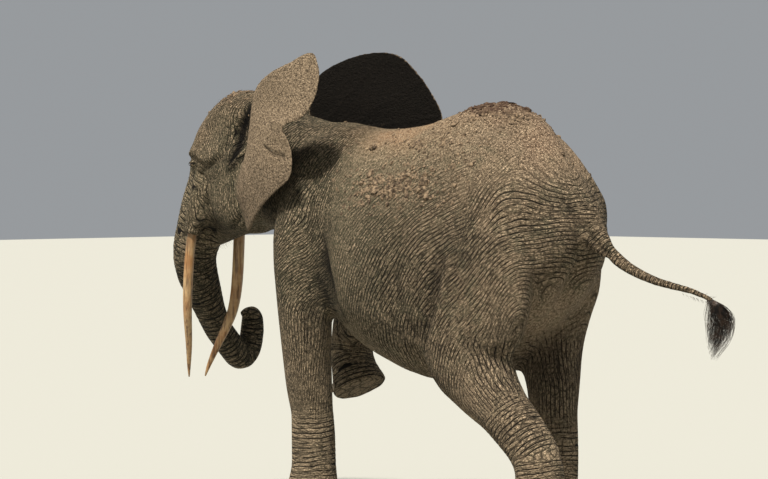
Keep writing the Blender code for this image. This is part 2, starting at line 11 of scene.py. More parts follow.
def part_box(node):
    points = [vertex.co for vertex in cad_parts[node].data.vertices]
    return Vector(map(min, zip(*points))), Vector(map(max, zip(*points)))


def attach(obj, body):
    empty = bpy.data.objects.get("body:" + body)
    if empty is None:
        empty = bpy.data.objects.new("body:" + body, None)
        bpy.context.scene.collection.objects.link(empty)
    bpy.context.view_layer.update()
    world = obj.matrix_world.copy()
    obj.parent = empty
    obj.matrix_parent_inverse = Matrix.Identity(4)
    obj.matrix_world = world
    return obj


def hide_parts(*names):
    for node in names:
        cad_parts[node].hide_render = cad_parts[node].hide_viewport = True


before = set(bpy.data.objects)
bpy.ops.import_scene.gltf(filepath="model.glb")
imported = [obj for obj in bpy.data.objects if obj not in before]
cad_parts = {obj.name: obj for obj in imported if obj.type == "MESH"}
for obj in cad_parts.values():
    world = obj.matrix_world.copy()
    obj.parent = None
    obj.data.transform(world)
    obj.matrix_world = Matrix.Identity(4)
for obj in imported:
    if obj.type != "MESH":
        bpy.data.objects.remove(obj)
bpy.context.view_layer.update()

random.seed(11)
BODY_PARTS = ["head", "neck", "torso", "trunk_upper", "trunk_middle", "trunk_tip", "tail", "tail_end",
              "foreleg_left", "foreleg_right", "forefoot_left", "forefoot_right",
              "hindleg_left", "hindleg_right", "hindfoot_left", "hindfoot_right"]
EAR_PARTS = ["ear_left", "ear_right"]
# The animal's own middle: places below are metres from it, X to the rear, Y to its right
EYE_PLACE = Vector((-1.957, 0.235, 2.125))
eye_low, eye_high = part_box("eye_right")
MIDDLE = (eye_low + eye_high) / 2 - EYE_PLACE
EYE_RADIUS = (eye_high.z - eye_low.z) / 2
COARSE = 0.013  # weave of the first hide, over the body alone
FINE = 0.0070  # weave of the whole hide
EASE_PULL = 0.5  # how far a round of easing draws a vertex to its neighbours
BODY_EASE = 30  # rounds over the body alone
WHOLE_EASE = 6  # rounds over the whole hide
SLENDER_HOLD = 0.75  # share of the pull that slender parts are spared
SLENDER_TAIL = (1.25, 1.45)  # the tail thins out between these, in X
SLENDER_TRUNK = (2.45, 2.75)  # the trunk between these, in Y less X
ROOT_REACH = 0.022  # rims of the ears this near the head are let into it
ROOT_SINK = 0.03  # this deep
HIDE_DEPTH = 0.002  # the hide lies this far inside the solids
HIDE_FACES = 190000


def placed(name, data):
    """A new object in the scene."""
    thing = bpy.data.objects.new(name, data)
    bpy.context.scene.collection.objects.link(thing)
    return thing


def merged_copy(name, nodes):
    """The parts' own surfaces, copied into one mesh with their loose triangles joined."""
    bm = bmesh.new()
    for node in nodes:
        bm.from_mesh(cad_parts[node].data)
    bmesh.ops.remove_doubles(bm, verts=bm.verts, dist=1e-5)
    mesh = bpy.data.meshes.new(name)
    bm.to_mesh(mesh)
    bm.free()
    mesh.materials.clear()
    return placed(name, mesh)


def settle(thing):
    """Make an object's modifiers part of its mesh."""
    graph = bpy.context.evaluated_depsgraph_get()
    graph.update()
    mesh = bpy.data.meshes.new_from_object(thing.evaluated_get(graph))
    thing.modifiers.clear()
    thing.data = mesh


def weave(thing, size):
    """Cover an object anew with an even weave of that size."""
    remesh = thing.modifiers.new("weave", "REMESH")
    remesh.mode = "VOXEL"
    remesh.voxel_size = size
    settle(thing)


def places(mesh, kind="co"):
    """Where the vertices stand, one row each."""
    flat = np.empty(len(mesh.vertices) * 3)
    mesh.vertices.foreach_get(kind, flat)
    return flat.reshape(-1, 3)


def facings(mesh):
    """Which way the vertices face, one row each."""
    return places(mesh, "normal")


def put(mesh, points):
    """Move the vertices to those places."""
    mesh.vertices.foreach_set("co", points.reshape(-1))
    mesh.update()


def eased(mesh, values, rounds, pull):
    """Values at the vertices, drawn toward the mean of their neighbours round by round."""
    ends = np.empty(len(mesh.edges) * 2, np.int64)
    mesh.edges.foreach_get("vertices", ends)
    one, other = ends.reshape(-1, 2).T
    count = len(mesh.vertices)
    degree = np.bincount(np.concatenate((one, other)), minlength=count)[:, None]
    values = values.copy()
    for _ in range(rounds):
        total = np.stack([np.bincount(one, values[other, i], count)
                          + np.bincount(other, values[one, i], count)
                          for i in range(values.shape[1])], 1)
        values += pull * (total / degree - values)
    return values


def ramp(value, start, end):
    """0 at start, 1 at end, and smooth between."""
    t = np.clip((value - start) / (end - start), 0, 1)
    return t * t * (3 - 2 * t)


def fade(away, width):
    """1 on a line, fading to either side over that width."""
    return np.exp(-(away / width) ** 2)


def bell(points, centre, reach):
    """1 at a place, fading with distance over the reach along X, Y and Z."""
    away = (points - np.array(centre)) / np.array(reach)
    return np.exp(-(away ** 2).sum(1))


def bells(points, spots):
    """The sum of soft spots, each a place, a reach and a share."""
    return sum(share * bell(points, centre, reach) for centre, reach, share in spots)


def slender_at(points):
    """1 on the tail and toward the tip of the trunk, 0 on all thicker parts."""
    return np.maximum(ramp(points[:, 0], *SLENDER_TAIL),
                      ramp(points[:, 1] - points[:, 0], *SLENDER_TRUNK))


hide = merged_copy("hide", BODY_PARTS)
weave(hide, COARSE)
points = places(hide.data)
own = points - np.array(MIDDLE)
# Thin parts are held, so that they keep their thickness: the tail and the trunk's tip
pull = (EASE_PULL * (1 - SLENDER_HOLD * slender_at(own)))[:, None]
soft = eased(hide.data, points, BODY_EASE, pull)
lost = eased(hide.data, points - soft, BODY_EASE, pull)
put(hide.data, soft + lost)

ears = merged_copy("ears", EAR_PARTS)
round_off = ears.modifiers.new("round", "SUBSURF")
round_off.levels = 2
round_off.render_levels = 2
settle(ears)
# The roots of the ears are let into the head, so that the weave joins them
bm = bmesh.new()
bm.from_mesh(hide.data)
skull = BVHTree.FromBMesh(bm)
bm.free()
for vert in ears.data.vertices:
    near, facing, _, _ = skull.find_nearest(vert.co, ROOT_REACH)
    if near:
        vert.co = near - facing * ROOT_SINK
bm = bmesh.new()
bm.from_mesh(hide.data)
bm.from_mesh(ears.data)
bm.to_mesh(hide.data)
bm.free()
bpy.data.objects.remove(ears)
weave(hide, FINE)
put(hide.data, eased(hide.data, places(hide.data), WHOLE_EASE, EASE_PULL))

# -------------------- Folds of the hide
# Thick dry skin has no stretch: it lies in fine creases that run in arcs over the barrel
# and thigh, upright on cheek and shoulder, and in rings round trunk, shins and tail.
TRUNK_LINE = [(-1.925, 0.0, 2.17, 0.215), (-1.985, 0.0, 2.00, 0.195), (-2.07, 0.0, 1.84, 0.18),
              (-2.15, 0.0, 1.69, 0.16), (-2.215, 0.01, 1.55, 0.145), (-2.245, 0.06, 1.42, 0.137),
              (-2.27, 0.145, 1.285, 0.119), (-2.295, 0.23, 1.15, 0.102), (-2.31, 0.32, 1.03, 0.094),
              (-2.31, 0.435, 0.91, 0.092), (-2.325, 0.51, 0.855, 0.088), (-2.32, 0.575, 0.89, 0.086),
              (-2.305, 0.597, 0.985, 0.083), (-2.29, 0.594, 1.07, 0.079), (-2.28, 0.577, 1.13, 0.074)]
TAIL_LINE = [(1.10, 0.0, 1.90, 0.12), (1.25, 0.005, 1.725, 0.08), (1.345, 0.025, 1.618, 0.052),
             (1.48, 0.055, 1.522, 0.037), (1.655, 0.095, 1.45, 0.03), (1.87, 0.15, 1.40, 0.024),
             (2.00, 0.19, 1.345, 0.02)]
LEG_LINES = [[(-0.85, -0.30, 0.96, 0.16), (-0.855, -0.25, 0.60, 0.135), (-0.86, -0.23, 0.28, 0.14),
              (-0.885, -0.225, 0.0, 0.18)],
             [(-0.86, 0.35, 1.27, 0.16), (-0.99, 0.335, 1.14, 0.145), (-1.085, 0.325, 1.03, 0.137),
              (-1.09, 0.32, 0.93, 0.138), (-1.05, 0.312, 0.82, 0.152), (-0.995, 0.305, 0.71, 0.19)],
             [(0.72, -0.385, 0.87, 0.20), (0.88, -0.38, 0.70, 0.165), (1.03, -0.375, 0.56, 0.15),
              (1.14, -0.37, 0.42, 0.145), (1.16, -0.365, 0.27, 0.15), (1.06, -0.36, 0.0, 0.13)],
             [(0.62, 0.30, 0.83, 0.18), (0.675, 0.28, 0.64, 0.15), (0.70, 0.27, 0.46, 0.14),
              (0.685, 0.26, 0.14, 0.155), (0.675, 0.26, 0.0, 0.17)]]
# Heights on the hind legs, and where the legs' middle lines stand there in X
LEFT_HIND_MIDDLE = ((0.56, 0.70, 0.87, 1.06, 1.56), (1.03, 0.88, 0.715, 0.61, 0.645))
RIGHT_HIND_MIDDLE = ((0.46, 0.83, 1.03, 1.56), (0.70, 0.65, 0.60, 0.565))
LEG_RINGS_FROM = [0.22, 0.20, 0.12, 0.14]  # how far down each leg line the rings begin
# Limbs ringed by creases: middle line, pitch, where along it the rings fade in, and how many
# radii from it they fade out
RINGED = [(TRUNK_LINE, 0.034, (0.02, 0.22), (1.25, 1.5)), (TAIL_LINE, 0.024, (0.10, 0.30), (1.3, 1.8))]
RINGED += [(line, 0.030, (start, start + 0.28), (1.4, 1.7))
           for line, start in zip(LEG_LINES, LEG_RINGS_FROM)]
ARC_HUB = np.array((1.15, 0.75))  # the barrel's creases run round this point, in X and Z
RUMP_HUB = np.array((-0.6, 2.61))  # and the rump's round this one
ARC_PITCH = 0.024
UPRIGHT_PITCH = 0.023
FACE_PITCH = 0.019
GROOVE = 0.28  # half width of a crease, as a share of its pitch
# How the two crease counts wander: share, size of the hills, seed
DRIFTS = [[(1.0, 0.30, 1), (0.26, 0.08, 2)], [(1.2, 0.25, 3), (0.35, 0.07, 4)]]
# Where one lie of creases gives way to the next, in X where nothing else is said
SHOULDER_SEAM = (-0.75, -0.25)
HIP_SEAM = (0.55, 0.85)
FACE_EDGE = -1.3
LEGS_FROM = -1.4
RUMP_FOOT = (1.00, 1.22)  # height
LEG_TOP = (-1.80, -1.20)  # height, downward
BUTTOCK = 0.95  # past here in X the rump's hoops level out
BUTTOCK_ROUND = 0.15  # over this length
# The barrel's creases are deepest where the flank folds against the thigh
ARCS_LEAST = 0.45
ARCS_DEEP_AT = [((0.25, 0, 1.2), (0.55, 3, 0.65), 0.75), ((0.8, 0, 1.3), (0.4, 3, 0.5), 0.5)]
THIGH_CALM = ((0.92, 0.0, 1.28), (0.24, 0.42, 0.20))  # where the hoops are faint
# The second crease count runs at these shares of the first, so that the two cross
TWIN_ARCS, TWIN_UPRIGHT, TWIN_RINGS = 0.87, 0.83, 0.8
LEG_MIDDLE_Y = 0.33
FORELEG_MIDDLE_X = -0.84
LEG_TURN = 0.17  # a leg's radius, along which its creases are counted
CREASE_DEPTHS = {"arc_creases": 0.0040, "rump_creases": 0.0040, "upright_creases": 0.0018,
                 "ring_creases": 0.0040}
THIN_LIMB_SPARED = 0.6  # share of the rings' depth that slender parts are spared


def murmur(points, size, seed):
    """Soft random rise and fall between -1 and 1, in hills of that size."""
    grid = points / size + seed * 17.31
    cell = np.floor(grid).astype(np.int64)
    part = grid - cell
    part = part * part * (3 - 2 * part)
    total = np.zeros(len(points))
    for corner in range(8):
        step = np.array([corner & 1, corner >> 1 & 1, corner >> 2])
        key = (cell + step) @ np.array([73856093, 19349663, 83492791]) + seed * 7919
        key = (key ^ (key >> 13)) * 1274126177 & 0x7fffffff
        key = (key ^ (key >> 15)) * 2246822519 & 0x7fffffff
        total += np.prod(np.where(step, part, 1 - part), axis=1) * ((key >> 8 & 0xffff) / 32767.5 - 1)
    return total


def along(points, line):
    """Distance run along a limb's middle line, and distance from it over the limb's radius."""
    best = np.full(len(points), 1e9)
    run = np.zeros(len(points))
    start = 0.0
    for one, other in zip(np.array(line), np.array(line[1:])):
        step = other[:3] - one[:3]
        length = np.linalg.norm(step)
        t = np.clip((points - one[:3]) @ step / length ** 2, 0, 1)
        off = np.linalg.norm(points - one[:3] - t[:, None] * step, axis=1)
        off /= one[3] + t * (other[3] - one[3])
        nearer = off < best
        best[nearer] = off[nearer]
        run[nearer] = start + t[nearer] * length
        start += length
    return run, best


def lie_of_creases(points, ear):
    """Two interlaced crease counts and a weight, for arcs, hoops, upright creases and rings."""
    drift_one, drift_two = (sum(share * murmur(points, size, seed) for share, size, seed in hills)
                            for hills in DRIFTS)
    aft, out, up = points[:, 0], np.abs(points[:, 1]), points[:, 2]
    rings = np.zeros(len(points))
    count = np.zeros(len(points))
    for line, pitch, fade_in, fade_out in RINGED:
        run, off = along(points, line)
        weight = ramp(run, *fade_in) * (1 - ramp(off, *fade_out))
        rings = np.maximum(rings, weight)
        count = np.where(weight > 0, run / pitch, count)
    hip = ramp(aft + 0.10 * drift_one, *HIP_SEAM)
    rump = hip * ramp(up, *RUMP_FOOT)
    barrel = ramp(aft + 0.15 * drift_one, *SHOULDER_SEAM) * (1 - hip)
    upright = (1 - rings) * (1 - ear) * (1 - barrel) * (1 - rump)
    upright *= 1 - 0.20 * ramp(-aft, 1.25, 1.40)
    # Round the barrel they run in arcs, faint on the back
    arc = np.linalg.norm(points[:, (0, 2)] - ARC_HUB, axis=1) / ARC_PITCH
    deep = (ARCS_LEAST + bells(points, ARCS_DEEP_AT)) * (1 - 0.55 * ramp(up, 1.9, 2.35))
    arcs = (1 - rings) * (1 - ear) * barrel * np.minimum(deep, 1.0)
    # Round the rump they run in hoops, which level out on the buttocks
    back = np.minimum(aft, BUTTOCK) + BUTTOCK_ROUND * np.tanh(np.maximum(aft - BUTTOCK, 0) / BUTTOCK_ROUND)
    hoop = np.hypot(back - RUMP_HUB[0], up - RUMP_HUB[1]) + 0.1 * out
    hoop = (hoop - 0.5 * ramp(aft, 0.85, 1.15) * (up - 1.6)) / ARC_PITCH
    hoops = 0.9 * (1 - rings) * rump * (1 - 0.75 * ramp(up, 1.85, 2.25))
    hoops *= 1 - 0.75 * bell(points, *THIGH_CALM)
    # Elsewhere they stand upright, and on the legs they are counted round the leg
    rear = aft > 0
    stand = aft + np.where(rear, -0.7, 0.7) * out
    leg = ramp(-up, *LEG_TOP) * (aft > LEGS_FROM)
    middle = np.where(points[:, 1] < 0, np.interp(up, *LEFT_HIND_MIDDLE), np.interp(up, *RIGHT_HIND_MIDDLE))
    middle = np.where(rear, middle, FORELEG_MIDDLE_X)
    turn = np.arctan2(aft - middle, out - LEG_MIDDLE_Y)
    stand = stand + leg * (LEG_TURN * turn - stand)
    stand /= np.where(aft < FACE_EDGE, FACE_PITCH, UPRIGHT_PITCH)
    return {"arc_creases": (arc + drift_one, TWIN_ARCS * arc + drift_two, arcs),
            "rump_creases": (hoop + drift_one, TWIN_ARCS * hoop + drift_two, hoops),
            "upright_creases": (stand + drift_one, TWIN_UPRIGHT * stand + drift_two, upright),
            "ring_creases": (count + 0.8 * drift_one, TWIN_RINGS * count + drift_two, rings)}


def groove(count):
    """1 in the bottom of a crease, 0 on the ridge between two."""
    return 1 - ramp(np.abs(count - np.round(count)), 0, GROOVE)


def mark(mesh, name, values):
    """Store a number or a row of three at each vertex, for a material to read."""
    kind, field = ("FLOAT", "value") if values.ndim == 1 else ("FLOAT_VECTOR", "vector")
    layer = mesh.attributes.new(name, kind, "POINT")
    layer.data.foreach_set(field, values.reshape(-1))


# The ears lie between these in X, above this, and this far out in Y
EARS_IN = (-1.50, -0.40)
EARS_ABOVE = 1.60
EARS_BEYOND = 0.18
EAR_FADE = (0.008, 0.035)  # distance from the ear's own solid
EAR_ROOT_FADE = (-1.42, -1.36)  # and X
ear_shape = bmesh.new()
for node in EAR_PARTS:
    ear_shape.from_mesh(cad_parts[node].data)
ear_tree = BVHTree.FromBMesh(ear_shape)
ear_shape.free()


def near_ear(points):
    """1 on the ears, 0 elsewhere, and a short fade where they grow from the head."""
    away = np.zeros(len(points))
    reach = (points[:, 0] > EARS_IN[0]) & (points[:, 0] < EARS_IN[1]) & (points[:, 2] > EARS_ABOVE)
    reach &= np.abs(points[:, 1]) > EARS_BEYOND
    for i in np.nonzero(reach)[0]:
        away[i] = ear_tree.find_nearest(Vector(points[i]) + MIDDLE)[3]
    weight = 1 - ramp(away, *EAR_FADE)
    return np.where(reach, weight * ramp(points[:, 0], *EAR_ROOT_FADE), 0)


# -------------------- Face, lips and nostrils
# The lids close over each eye to a narrow almond; cheek, lip and jaw meet in deep folds,
# the skin grips each tusk in a thick rim, and two nostrils open in the tip of the trunk.
EYE_GAZE = Vector((-0.34, 0.93, -0.10)).normalized()
LID_THICK = 0.0032
OPENING = (0.025, 0.0105, 0.0085)  # half length of the opened eye, height above and below its middle
LID_RIM = 0.0015  # lift of the lids' rims
LID_REACH = 0.085  # the lids and their folds end this far from the eye's middle
BAG_HEIGHT = 0.0022  # folds in rows round the opening
BAG_PITCH = 0.0125
BAG_FADE = 0.035
EYE_FINE = 0.058  # the weave is split this near each eye
TRUNK_FINE = 0.075  # and this near the trunk's end
TRUNK_END = Vector(TRUNK_LINE[-1][:3])
NOSTRILS = [(-2.296, 0.597, 1.140), (-2.256, 0.597, 1.140)]
NOSTRIL_DEPTH = 0.035
NOSTRIL_WIDTH = 0.013


def finer(thing, spots):
    """Split the weave three ways near some places, where smaller forms follow."""
    bm = bmesh.new()
    bm.from_mesh(thing.data)
    for centre, reach in spots:
        middle = Vector(centre) + MIDDLE
        edges = {e for v in bm.verts if (v.co - middle).length < reach for e in v.link_edges}
        bmesh.ops.subdivide_edges(bm, edges=list(edges), cuts=3, use_grid_fill=True)
    bmesh.ops.triangulate(bm, faces=[f for f in bm.faces if len(f.verts) > 4])
    bm.to_mesh(thing.data)
    bm.free()


EYES = [np.array(EYE_PLACE) * (1, way, 1) for way in (-1, 1)]
finer(hide, [(place, EYE_FINE) for place in EYES] + [(TRUNK_END, TRUNK_FINE)])


def laid(line, way):
    """A line of places, stepped finely and laid on the nearest hide."""
    trail = []
    for one, other in zip(line, line[1:]):
        one = Vector(one) * Vector((1, way, 1))
        other = Vector(other) * Vector((1, way, 1))
        steps = max(1, int((other - one).length / 0.02))
        trail += [one.lerp(other, i / steps) for i in range(steps)]
    trail.append(other)
    return [(*(surface.find_nearest(place + MIDDLE)[0] - MIDDLE), 1.0) for place in trail]


def press(points, depth, line, width, amount):
    """Sink the hide along a line on both sides (or raise it, if the amount is negative)."""
    for way in (-1, 1):
        trail = laid(line, way)
        low = np.min(trail, axis=0)[:3] - 3 * width
        high = np.max(trail, axis=0)[:3] + 3 * width
        here = np.all((points > low) & (points < high), axis=1)
        depth[here] += amount * fade(along(points[here], trail)[1], width)


def lids(points, centre, way):
    """The hide round an eye, drawn over the eyeball but for the almond between the lids."""
    gaze = np.array(EYE_GAZE) * (1, way, 1)
    up = np.array((0, 0, 1.0)) - gaze * gaze[2]
    up /= np.linalg.norm(up)
    fore = np.cross(up, gaze)
    fore *= -np.sign(fore[0])
    off = points - centre
    here = np.linalg.norm(off, axis=1) < LID_REACH
    off = off[here]
    out, ahead = off @ gaze, off @ fore
    rise = off @ up + 0.06 * ahead
    half, above, below = OPENING
    lens = 1 - (ahead / half) ** 2
    edge = np.where(rise > 0, np.abs(rise) - above * lens, np.abs(rise) - below * lens)
    edge = np.where(lens > 0, edge, np.hypot(np.abs(ahead) - half, rise))
    # Small hills: lid rims, then bags and brow folds in rows away from the opening
    reach = np.sqrt(np.maximum((EYE_RADIUS + LID_THICK) ** 2 - ahead ** 2 - rise ** 2, 0))
    folds = BAG_HEIGHT * np.cos(edge / BAG_PITCH * 2 * np.pi) * fade(np.maximum(edge, 0), BAG_FADE)
    lid = np.maximum(out, reach) + folds + LID_RIM
    share = fade(np.maximum(edge - 0.004, 0), 0.03)
    raised = out + (lid - out) * share
    sunk = np.minimum(out, 0.35 * EYE_RADIUS)
    within = ramp(edge, 0.0, -0.0012)
    move = (raised * (1 - within) + sunk * within - out)[:, None] * gaze
    points[here] += move
    return here


# Each fold is a line of places, a width and a depth; a negative depth stands out
# The hollow before the ear, from the crown down to the jaw
EAR_HOLLOW = ([(-1.44, 0.25, 2.52), (-1.48, 0.25, 2.40), (-1.51, 0.26, 2.25), (-1.56, 0.27, 2.12)],
              0.036, 0.014)
FACE_FOLDS = [
    EAR_HOLLOW,
    # the forehead's edge, raised above it
    ([(-1.96, 0.25, 2.20), (-1.88, 0.28, 2.175), (-1.80, 0.29, 2.145), (-1.73, 0.295, 2.17),
      (-1.67, 0.30, 2.23)], 0.020, -0.008),
    # the brow's edge, dipping behind the eye and rising again to the temple
    ([(-1.97, 0.24, 2.165), (-1.88, 0.27, 2.135), (-1.79, 0.29, 2.100), (-1.72, 0.295, 2.125),
      (-1.64, 0.30, 2.180), (-1.60, 0.30, 2.27), (-1.62, 0.28, 2.36)], 0.020, 0.010),
    # the hollow under the brow
    ([(-1.88, 0.26, 2.06), (-1.76, 0.28, 2.11), (-1.64, 0.28, 2.15)], 0.022, 0.007),
    # from the eye down the side of the trunk's root to the corner of the mouth
    ([(-1.90, 0.25, 2.07), (-1.83, 0.26, 2.03), (-1.82, 0.25, 1.95), (-1.84, 0.23, 1.86),
      (-1.81, 0.20, 1.75)], 0.013, 0.011),
    # the lips, closed
    ([(-1.81, 0.20, 1.75), (-1.88, 0.13, 1.70), (-1.98, 0.06, 1.655)], 0.010, 0.012),
    # between cheek and throat
    ([(-1.43, 0.28, 1.86), (-1.50, 0.26, 1.78), (-1.62, 0.22, 1.71)], 0.022, 0.012),
    # the ear's front ligament, standing in the hollow before the ear, and the groove along it
    ([(-1.57, 0.27, 2.10), (-1.49, 0.25, 2.20), (-1.41, 0.24, 2.31)], 0.011, -0.016),
    ([(-1.545, 0.27, 2.07), (-1.455, 0.25, 2.19), (-1.38, 0.24, 2.30)], 0.014, 0.012),
    # the brow, and the groove under it
    ([(-2.01, 0.20, 2.185), (-1.95, 0.24, 2.205), (-1.87, 0.26, 2.20)], 0.012, -0.006),
    ([(-2.00, 0.20, 2.165), (-1.95, 0.25, 2.172), (-1.88, 0.26, 2.165)], 0.006, 0.005),
    # crow's feet behind the eye
    ([(-1.925, 0.25, 2.125), (-1.87, 0.27, 2.135), (-1.82, 0.27, 2.12)], 0.006, 0.005),
    ([(-1.925, 0.25, 2.105), (-1.875, 0.27, 2.095), (-1.84, 0.27, 2.07)], 0.006, 0.005)]
# The seam behind the elbow, where the skin of the foreleg leaves the belly's
ELBOW_SEAM = [(-0.535, 0.47, 1.57), (-0.50, 0.47, 1.47), (-0.44, 0.47, 1.32), (-0.40, 0.46, 1.18)]
BODY_FOLDS = [
    (ELBOW_SEAM, 0.045, 0.007),
    # the edge of the fold from flank to knee
    ([(0.50, 0.60, 1.56), (0.49, 0.60, 1.42), (0.44, 0.58, 1.26), (0.36, 0.55, 1.08)], 0.018, 0.009),
    # skin fold from flank to knee, and the furrow before it
    ([(0.56, 0.60, 1.58), (0.52, 0.60, 1.42), (0.45, 0.57, 1.22), (0.36, 0.53, 1.04)], 0.030, 0.014),
    ([(0.62, 0.60, 1.50), (0.60, 0.60, 1.38), (0.53, 0.57, 1.20), (0.44, 0.54, 1.04)], 0.034, -0.009),
    ([(0.21, 0.60, 1.50), (0.25, 0.59, 1.30), (0.31, 0.55, 1.10)], 0.030, 0.008),
    ([(0.13, 0.60, 1.45), (0.16, 0.58, 1.25), (0.21, 0.50, 1.02)], 0.026, 0.006),
    # behind the elbow
    ([(-0.70, 0.46, 1.26), (-0.69, 0.45, 1.12), (-0.70, 0.42, 0.96)], 0.022, 0.009),
    ([(-0.62, 0.46, 1.42), (-0.60, 0.46, 1.28), (-0.62, 0.42, 1.14)], 0.032, 0.007),
    ([(-0.54, 0.47, 1.67), (-0.47, 0.47, 1.49), (-0.40, 0.47, 1.32), (-0.36, 0.46, 1.18)], 0.032, 0.014),
    # round the root of the tail
    ([(1.20, 0.16, 1.95), (1.25, 0.13, 1.80), (1.30, 0.08, 1.68), (1.36, 0.03, 1.60)], 0.026, 0.016),
    # back of the knee and hock
    ([(0.86, 0.46, 1.02), (0.93, 0.40, 0.92), (0.98, 0.34, 0.88)], 0.022, 0.010)]
# The rim of skin round each tusk: a furrow, then a thick roll, so far down the tusk's line
TUSK_MOUTH = [(-1.965, 0.188, 1.80, 1.0), (-2.004, 0.206, 1.665, 1.0), (-2.02, 0.212, 1.56, 1.0)]
FURROW_AT, FURROW_WIDTH, FURROW_DEPTH = 0.085, 0.012, 0.007
ROLL_AT, ROLL_WIDTH, ROLL_HEIGHT = 0.118, 0.016, 0.008
# Veins and folds of the ears, drawn by share of the ear's breadth out from the root, and height
EAR_FOOT = -1.395
EAR_BREADTH = 0.94
VEIN_WIDTH = 0.010
VEIN_HEIGHT = 0.0028
EAR_VEINS = [[(0.05, 2.33), (0.45, 2.37), (0.88, 2.42)], [(0.20, 2.35), (0.45, 2.50), (0.78, 2.66)],
             [(0.08, 2.38), (0.22, 2.55), (0.40, 2.76)], [(0.05, 2.26), (0.42, 2.20), (0.70, 2.10)],
             [(0.03, 2.18), (0.20, 2.00), (0.34, 1.86)], [(0.45, 2.37), (0.68, 2.30), (0.80, 2.22)]]
# A fold's line is followed by its width, its depth and its side
EAR_FOLDS = [([(0.62, 2.37), (0.52, 2.39), (0.44, 2.45)], 0.016, -0.008, -1),
             ([(0.64, 2.32), (0.54, 2.33), (0.46, 2.37)], 0.020, 0.006, -1),
             ([(0.42, 2.23), (0.52, 2.185), (0.64, 2.17)], 0.012, 0.006, -1),
             ([(0.40, 2.26), (0.52, 2.22), (0.66, 2.20)], 0.014, -0.005, -1)]


def off_ear_line(points, line):
    """Distance of places on the ears from a line drawn on them."""
    spread = np.stack(((points[:, 0] - EAR_FOOT) / EAR_BREADTH, points[:, 2], np.zeros(len(points))), 1)
    return along(spread, [(out, up, 0, 1) for out, up in line])[1]


surface = BVHTree.FromObject(hide, bpy.context.evaluated_depsgraph_get())
points = places(hide.data)
facing = facings(hide.data)
own = points - np.array(MIDDLE)
ear = near_ear(own)
on_ears = ear > 0.5
depth = np.full(len(own), HIDE_DEPTH)
for line, width, amount in FACE_FOLDS + BODY_FOLDS:
    press(own, depth, line, width, amount)
for way in (-1, 1):
    run, off = along(own, [(x, way * y, z, radius) for x, y, z, radius in TUSK_MOUTH])
    sunk = FURROW_DEPTH * fade(run - FURROW_AT, FURROW_WIDTH)
    sunk -= ROLL_HEIGHT * fade(run - ROLL_AT, ROLL_WIDTH)
    depth += (1 - ramp(off, 0.075, 0.10)) * sunk
for vein in EAR_VEINS:
    depth[on_ears] -= VEIN_HEIGHT * fade(off_ear_line(own[on_ears], vein), VEIN_WIDTH)
for line, width, amount, way in EAR_FOLDS:
    this = on_ears & (own[:, 1] * way > 0)
    depth[this] += amount * np.sign(facing[this, 1] * way) * fade(off_ear_line(own[this], line), width)
for spot in NOSTRILS:
    away = np.hypot(own[:, 0] - spot[0], own[:, 1] - spot[1])
    open_end = (np.abs(own[:, 2] - spot[2]) < 0.05) * (facing[:, 2] > 0.3)
    depth += NOSTRIL_DEPTH * np.exp(-(away / NOSTRIL_WIDTH) ** 4) * open_end
creases = lie_of_creases(own, ear)
strong = 0.55 + 0.45 * murmur(own, 0.30, 5)
for name, amount in CREASE_DEPTHS.items():
    one, other, weight = creases[name]
    cut = np.maximum(groove(one) * (0.65 + 0.35 * murmur(own, 0.07, 31)),
                     groove(other) * (0.50 + 0.50 * murmur(own, 0.06, 32)))
    thin_limb = 1 - THIN_LIMB_SPARED * slender_at(own) if name == "ring_creases" else 1
    depth += amount * strong * weight * cut * thin_limb
# Round the eyes only the lids' own folds show
quiet = np.zeros(len(own))
for place in EYES:
    quiet = np.maximum(quiet, np.exp(-((own - place) ** 2).sum(1) / 0.05 ** 2))
depth = HIDE_DEPTH + (depth - HIDE_DEPTH) * (1 - quiet)
points = points - facing * depth[:, None]
own = points - np.array(MIDDLE)
kept = np.zeros(len(own), bool)
for place, way in zip(EYES, (-1, 1)):
    kept |= lids(own, place, way)
put(hide.data, own + np.array(MIDDLE))

yielding = hide.vertex_groups.new(name="yielding")
yielding.add(np.nonzero(~kept)[0].tolist(), 1.0, "REPLACE")
thin_out = hide.modifiers.new("thin_out", "DECIMATE")
thin_out.vertex_group = "yielding"
hide.data.calc_loop_triangles()
thin_out.ratio = HIDE_FACES / len(hide.data.loop_triangles)
settle(hide)
hide.vertex_groups.clear()
hide.data.shade_smooth()

own = places(hide.data) - np.array(MIDDLE)
ear = near_ear(own)
for name, counts in lie_of_creases(own, ear).items():
    mark(hide.data, name, np.stack(counts, 1))

# -------------------- Finish of the hide
# Bare grey-brown skin, dry and matt, cracked into small cells, with dark creases that are partly
# earth and partly painted shade, pale dust on the ridges, and orange and red-brown dust on top.
# Painted shade also darkens folds, hollows, undersides, the neck behind the ears and the right
# ear's inner side.


def tone(red, green, blue):
    """A paint chip's 0 to 255 values as a shader colour."""
    made = [v / 255 / 12.92 if v <= 10 else ((v / 255 + 0.055) / 1.055) ** 2.4 for v in (red, green, blue)]
    return (*made, 1.0)


def knot(tree, kind, values, **settings):
    """One shader node; each value is a number, a colour or another node's output."""
    made = tree.nodes.new("ShaderNode" + kind)
    for name, value in settings.items():
        setattr(made, name, value)
    for name, value in values.items():
        if isinstance(value, bpy.types.NodeSocket):
            tree.links.new(value, made.inputs[name])
        else:
            made.inputs[name].default_value = value
    return made


def sums(tree, kind, one, other=0.0, third=0.0):
    """One step of arithmetic on shader values."""
    return knot(tree, "Math", {0: one, 1: other, 2: third}, operation=kind).outputs[0]


def times(tree, one, other):
    return sums(tree, "MULTIPLY", one, other)


def band(tree, value, start, end, low=0.0, high=1.0):
    """Low while the value is at the start, high once it is past the end, smooth between."""
    return knot(tree, "MapRange", {"Value": value, "From Min": start, "From Max": end,
                "To Min": low, "To Max": high}, interpolation_type="SMOOTHSTEP").outputs["Result"]


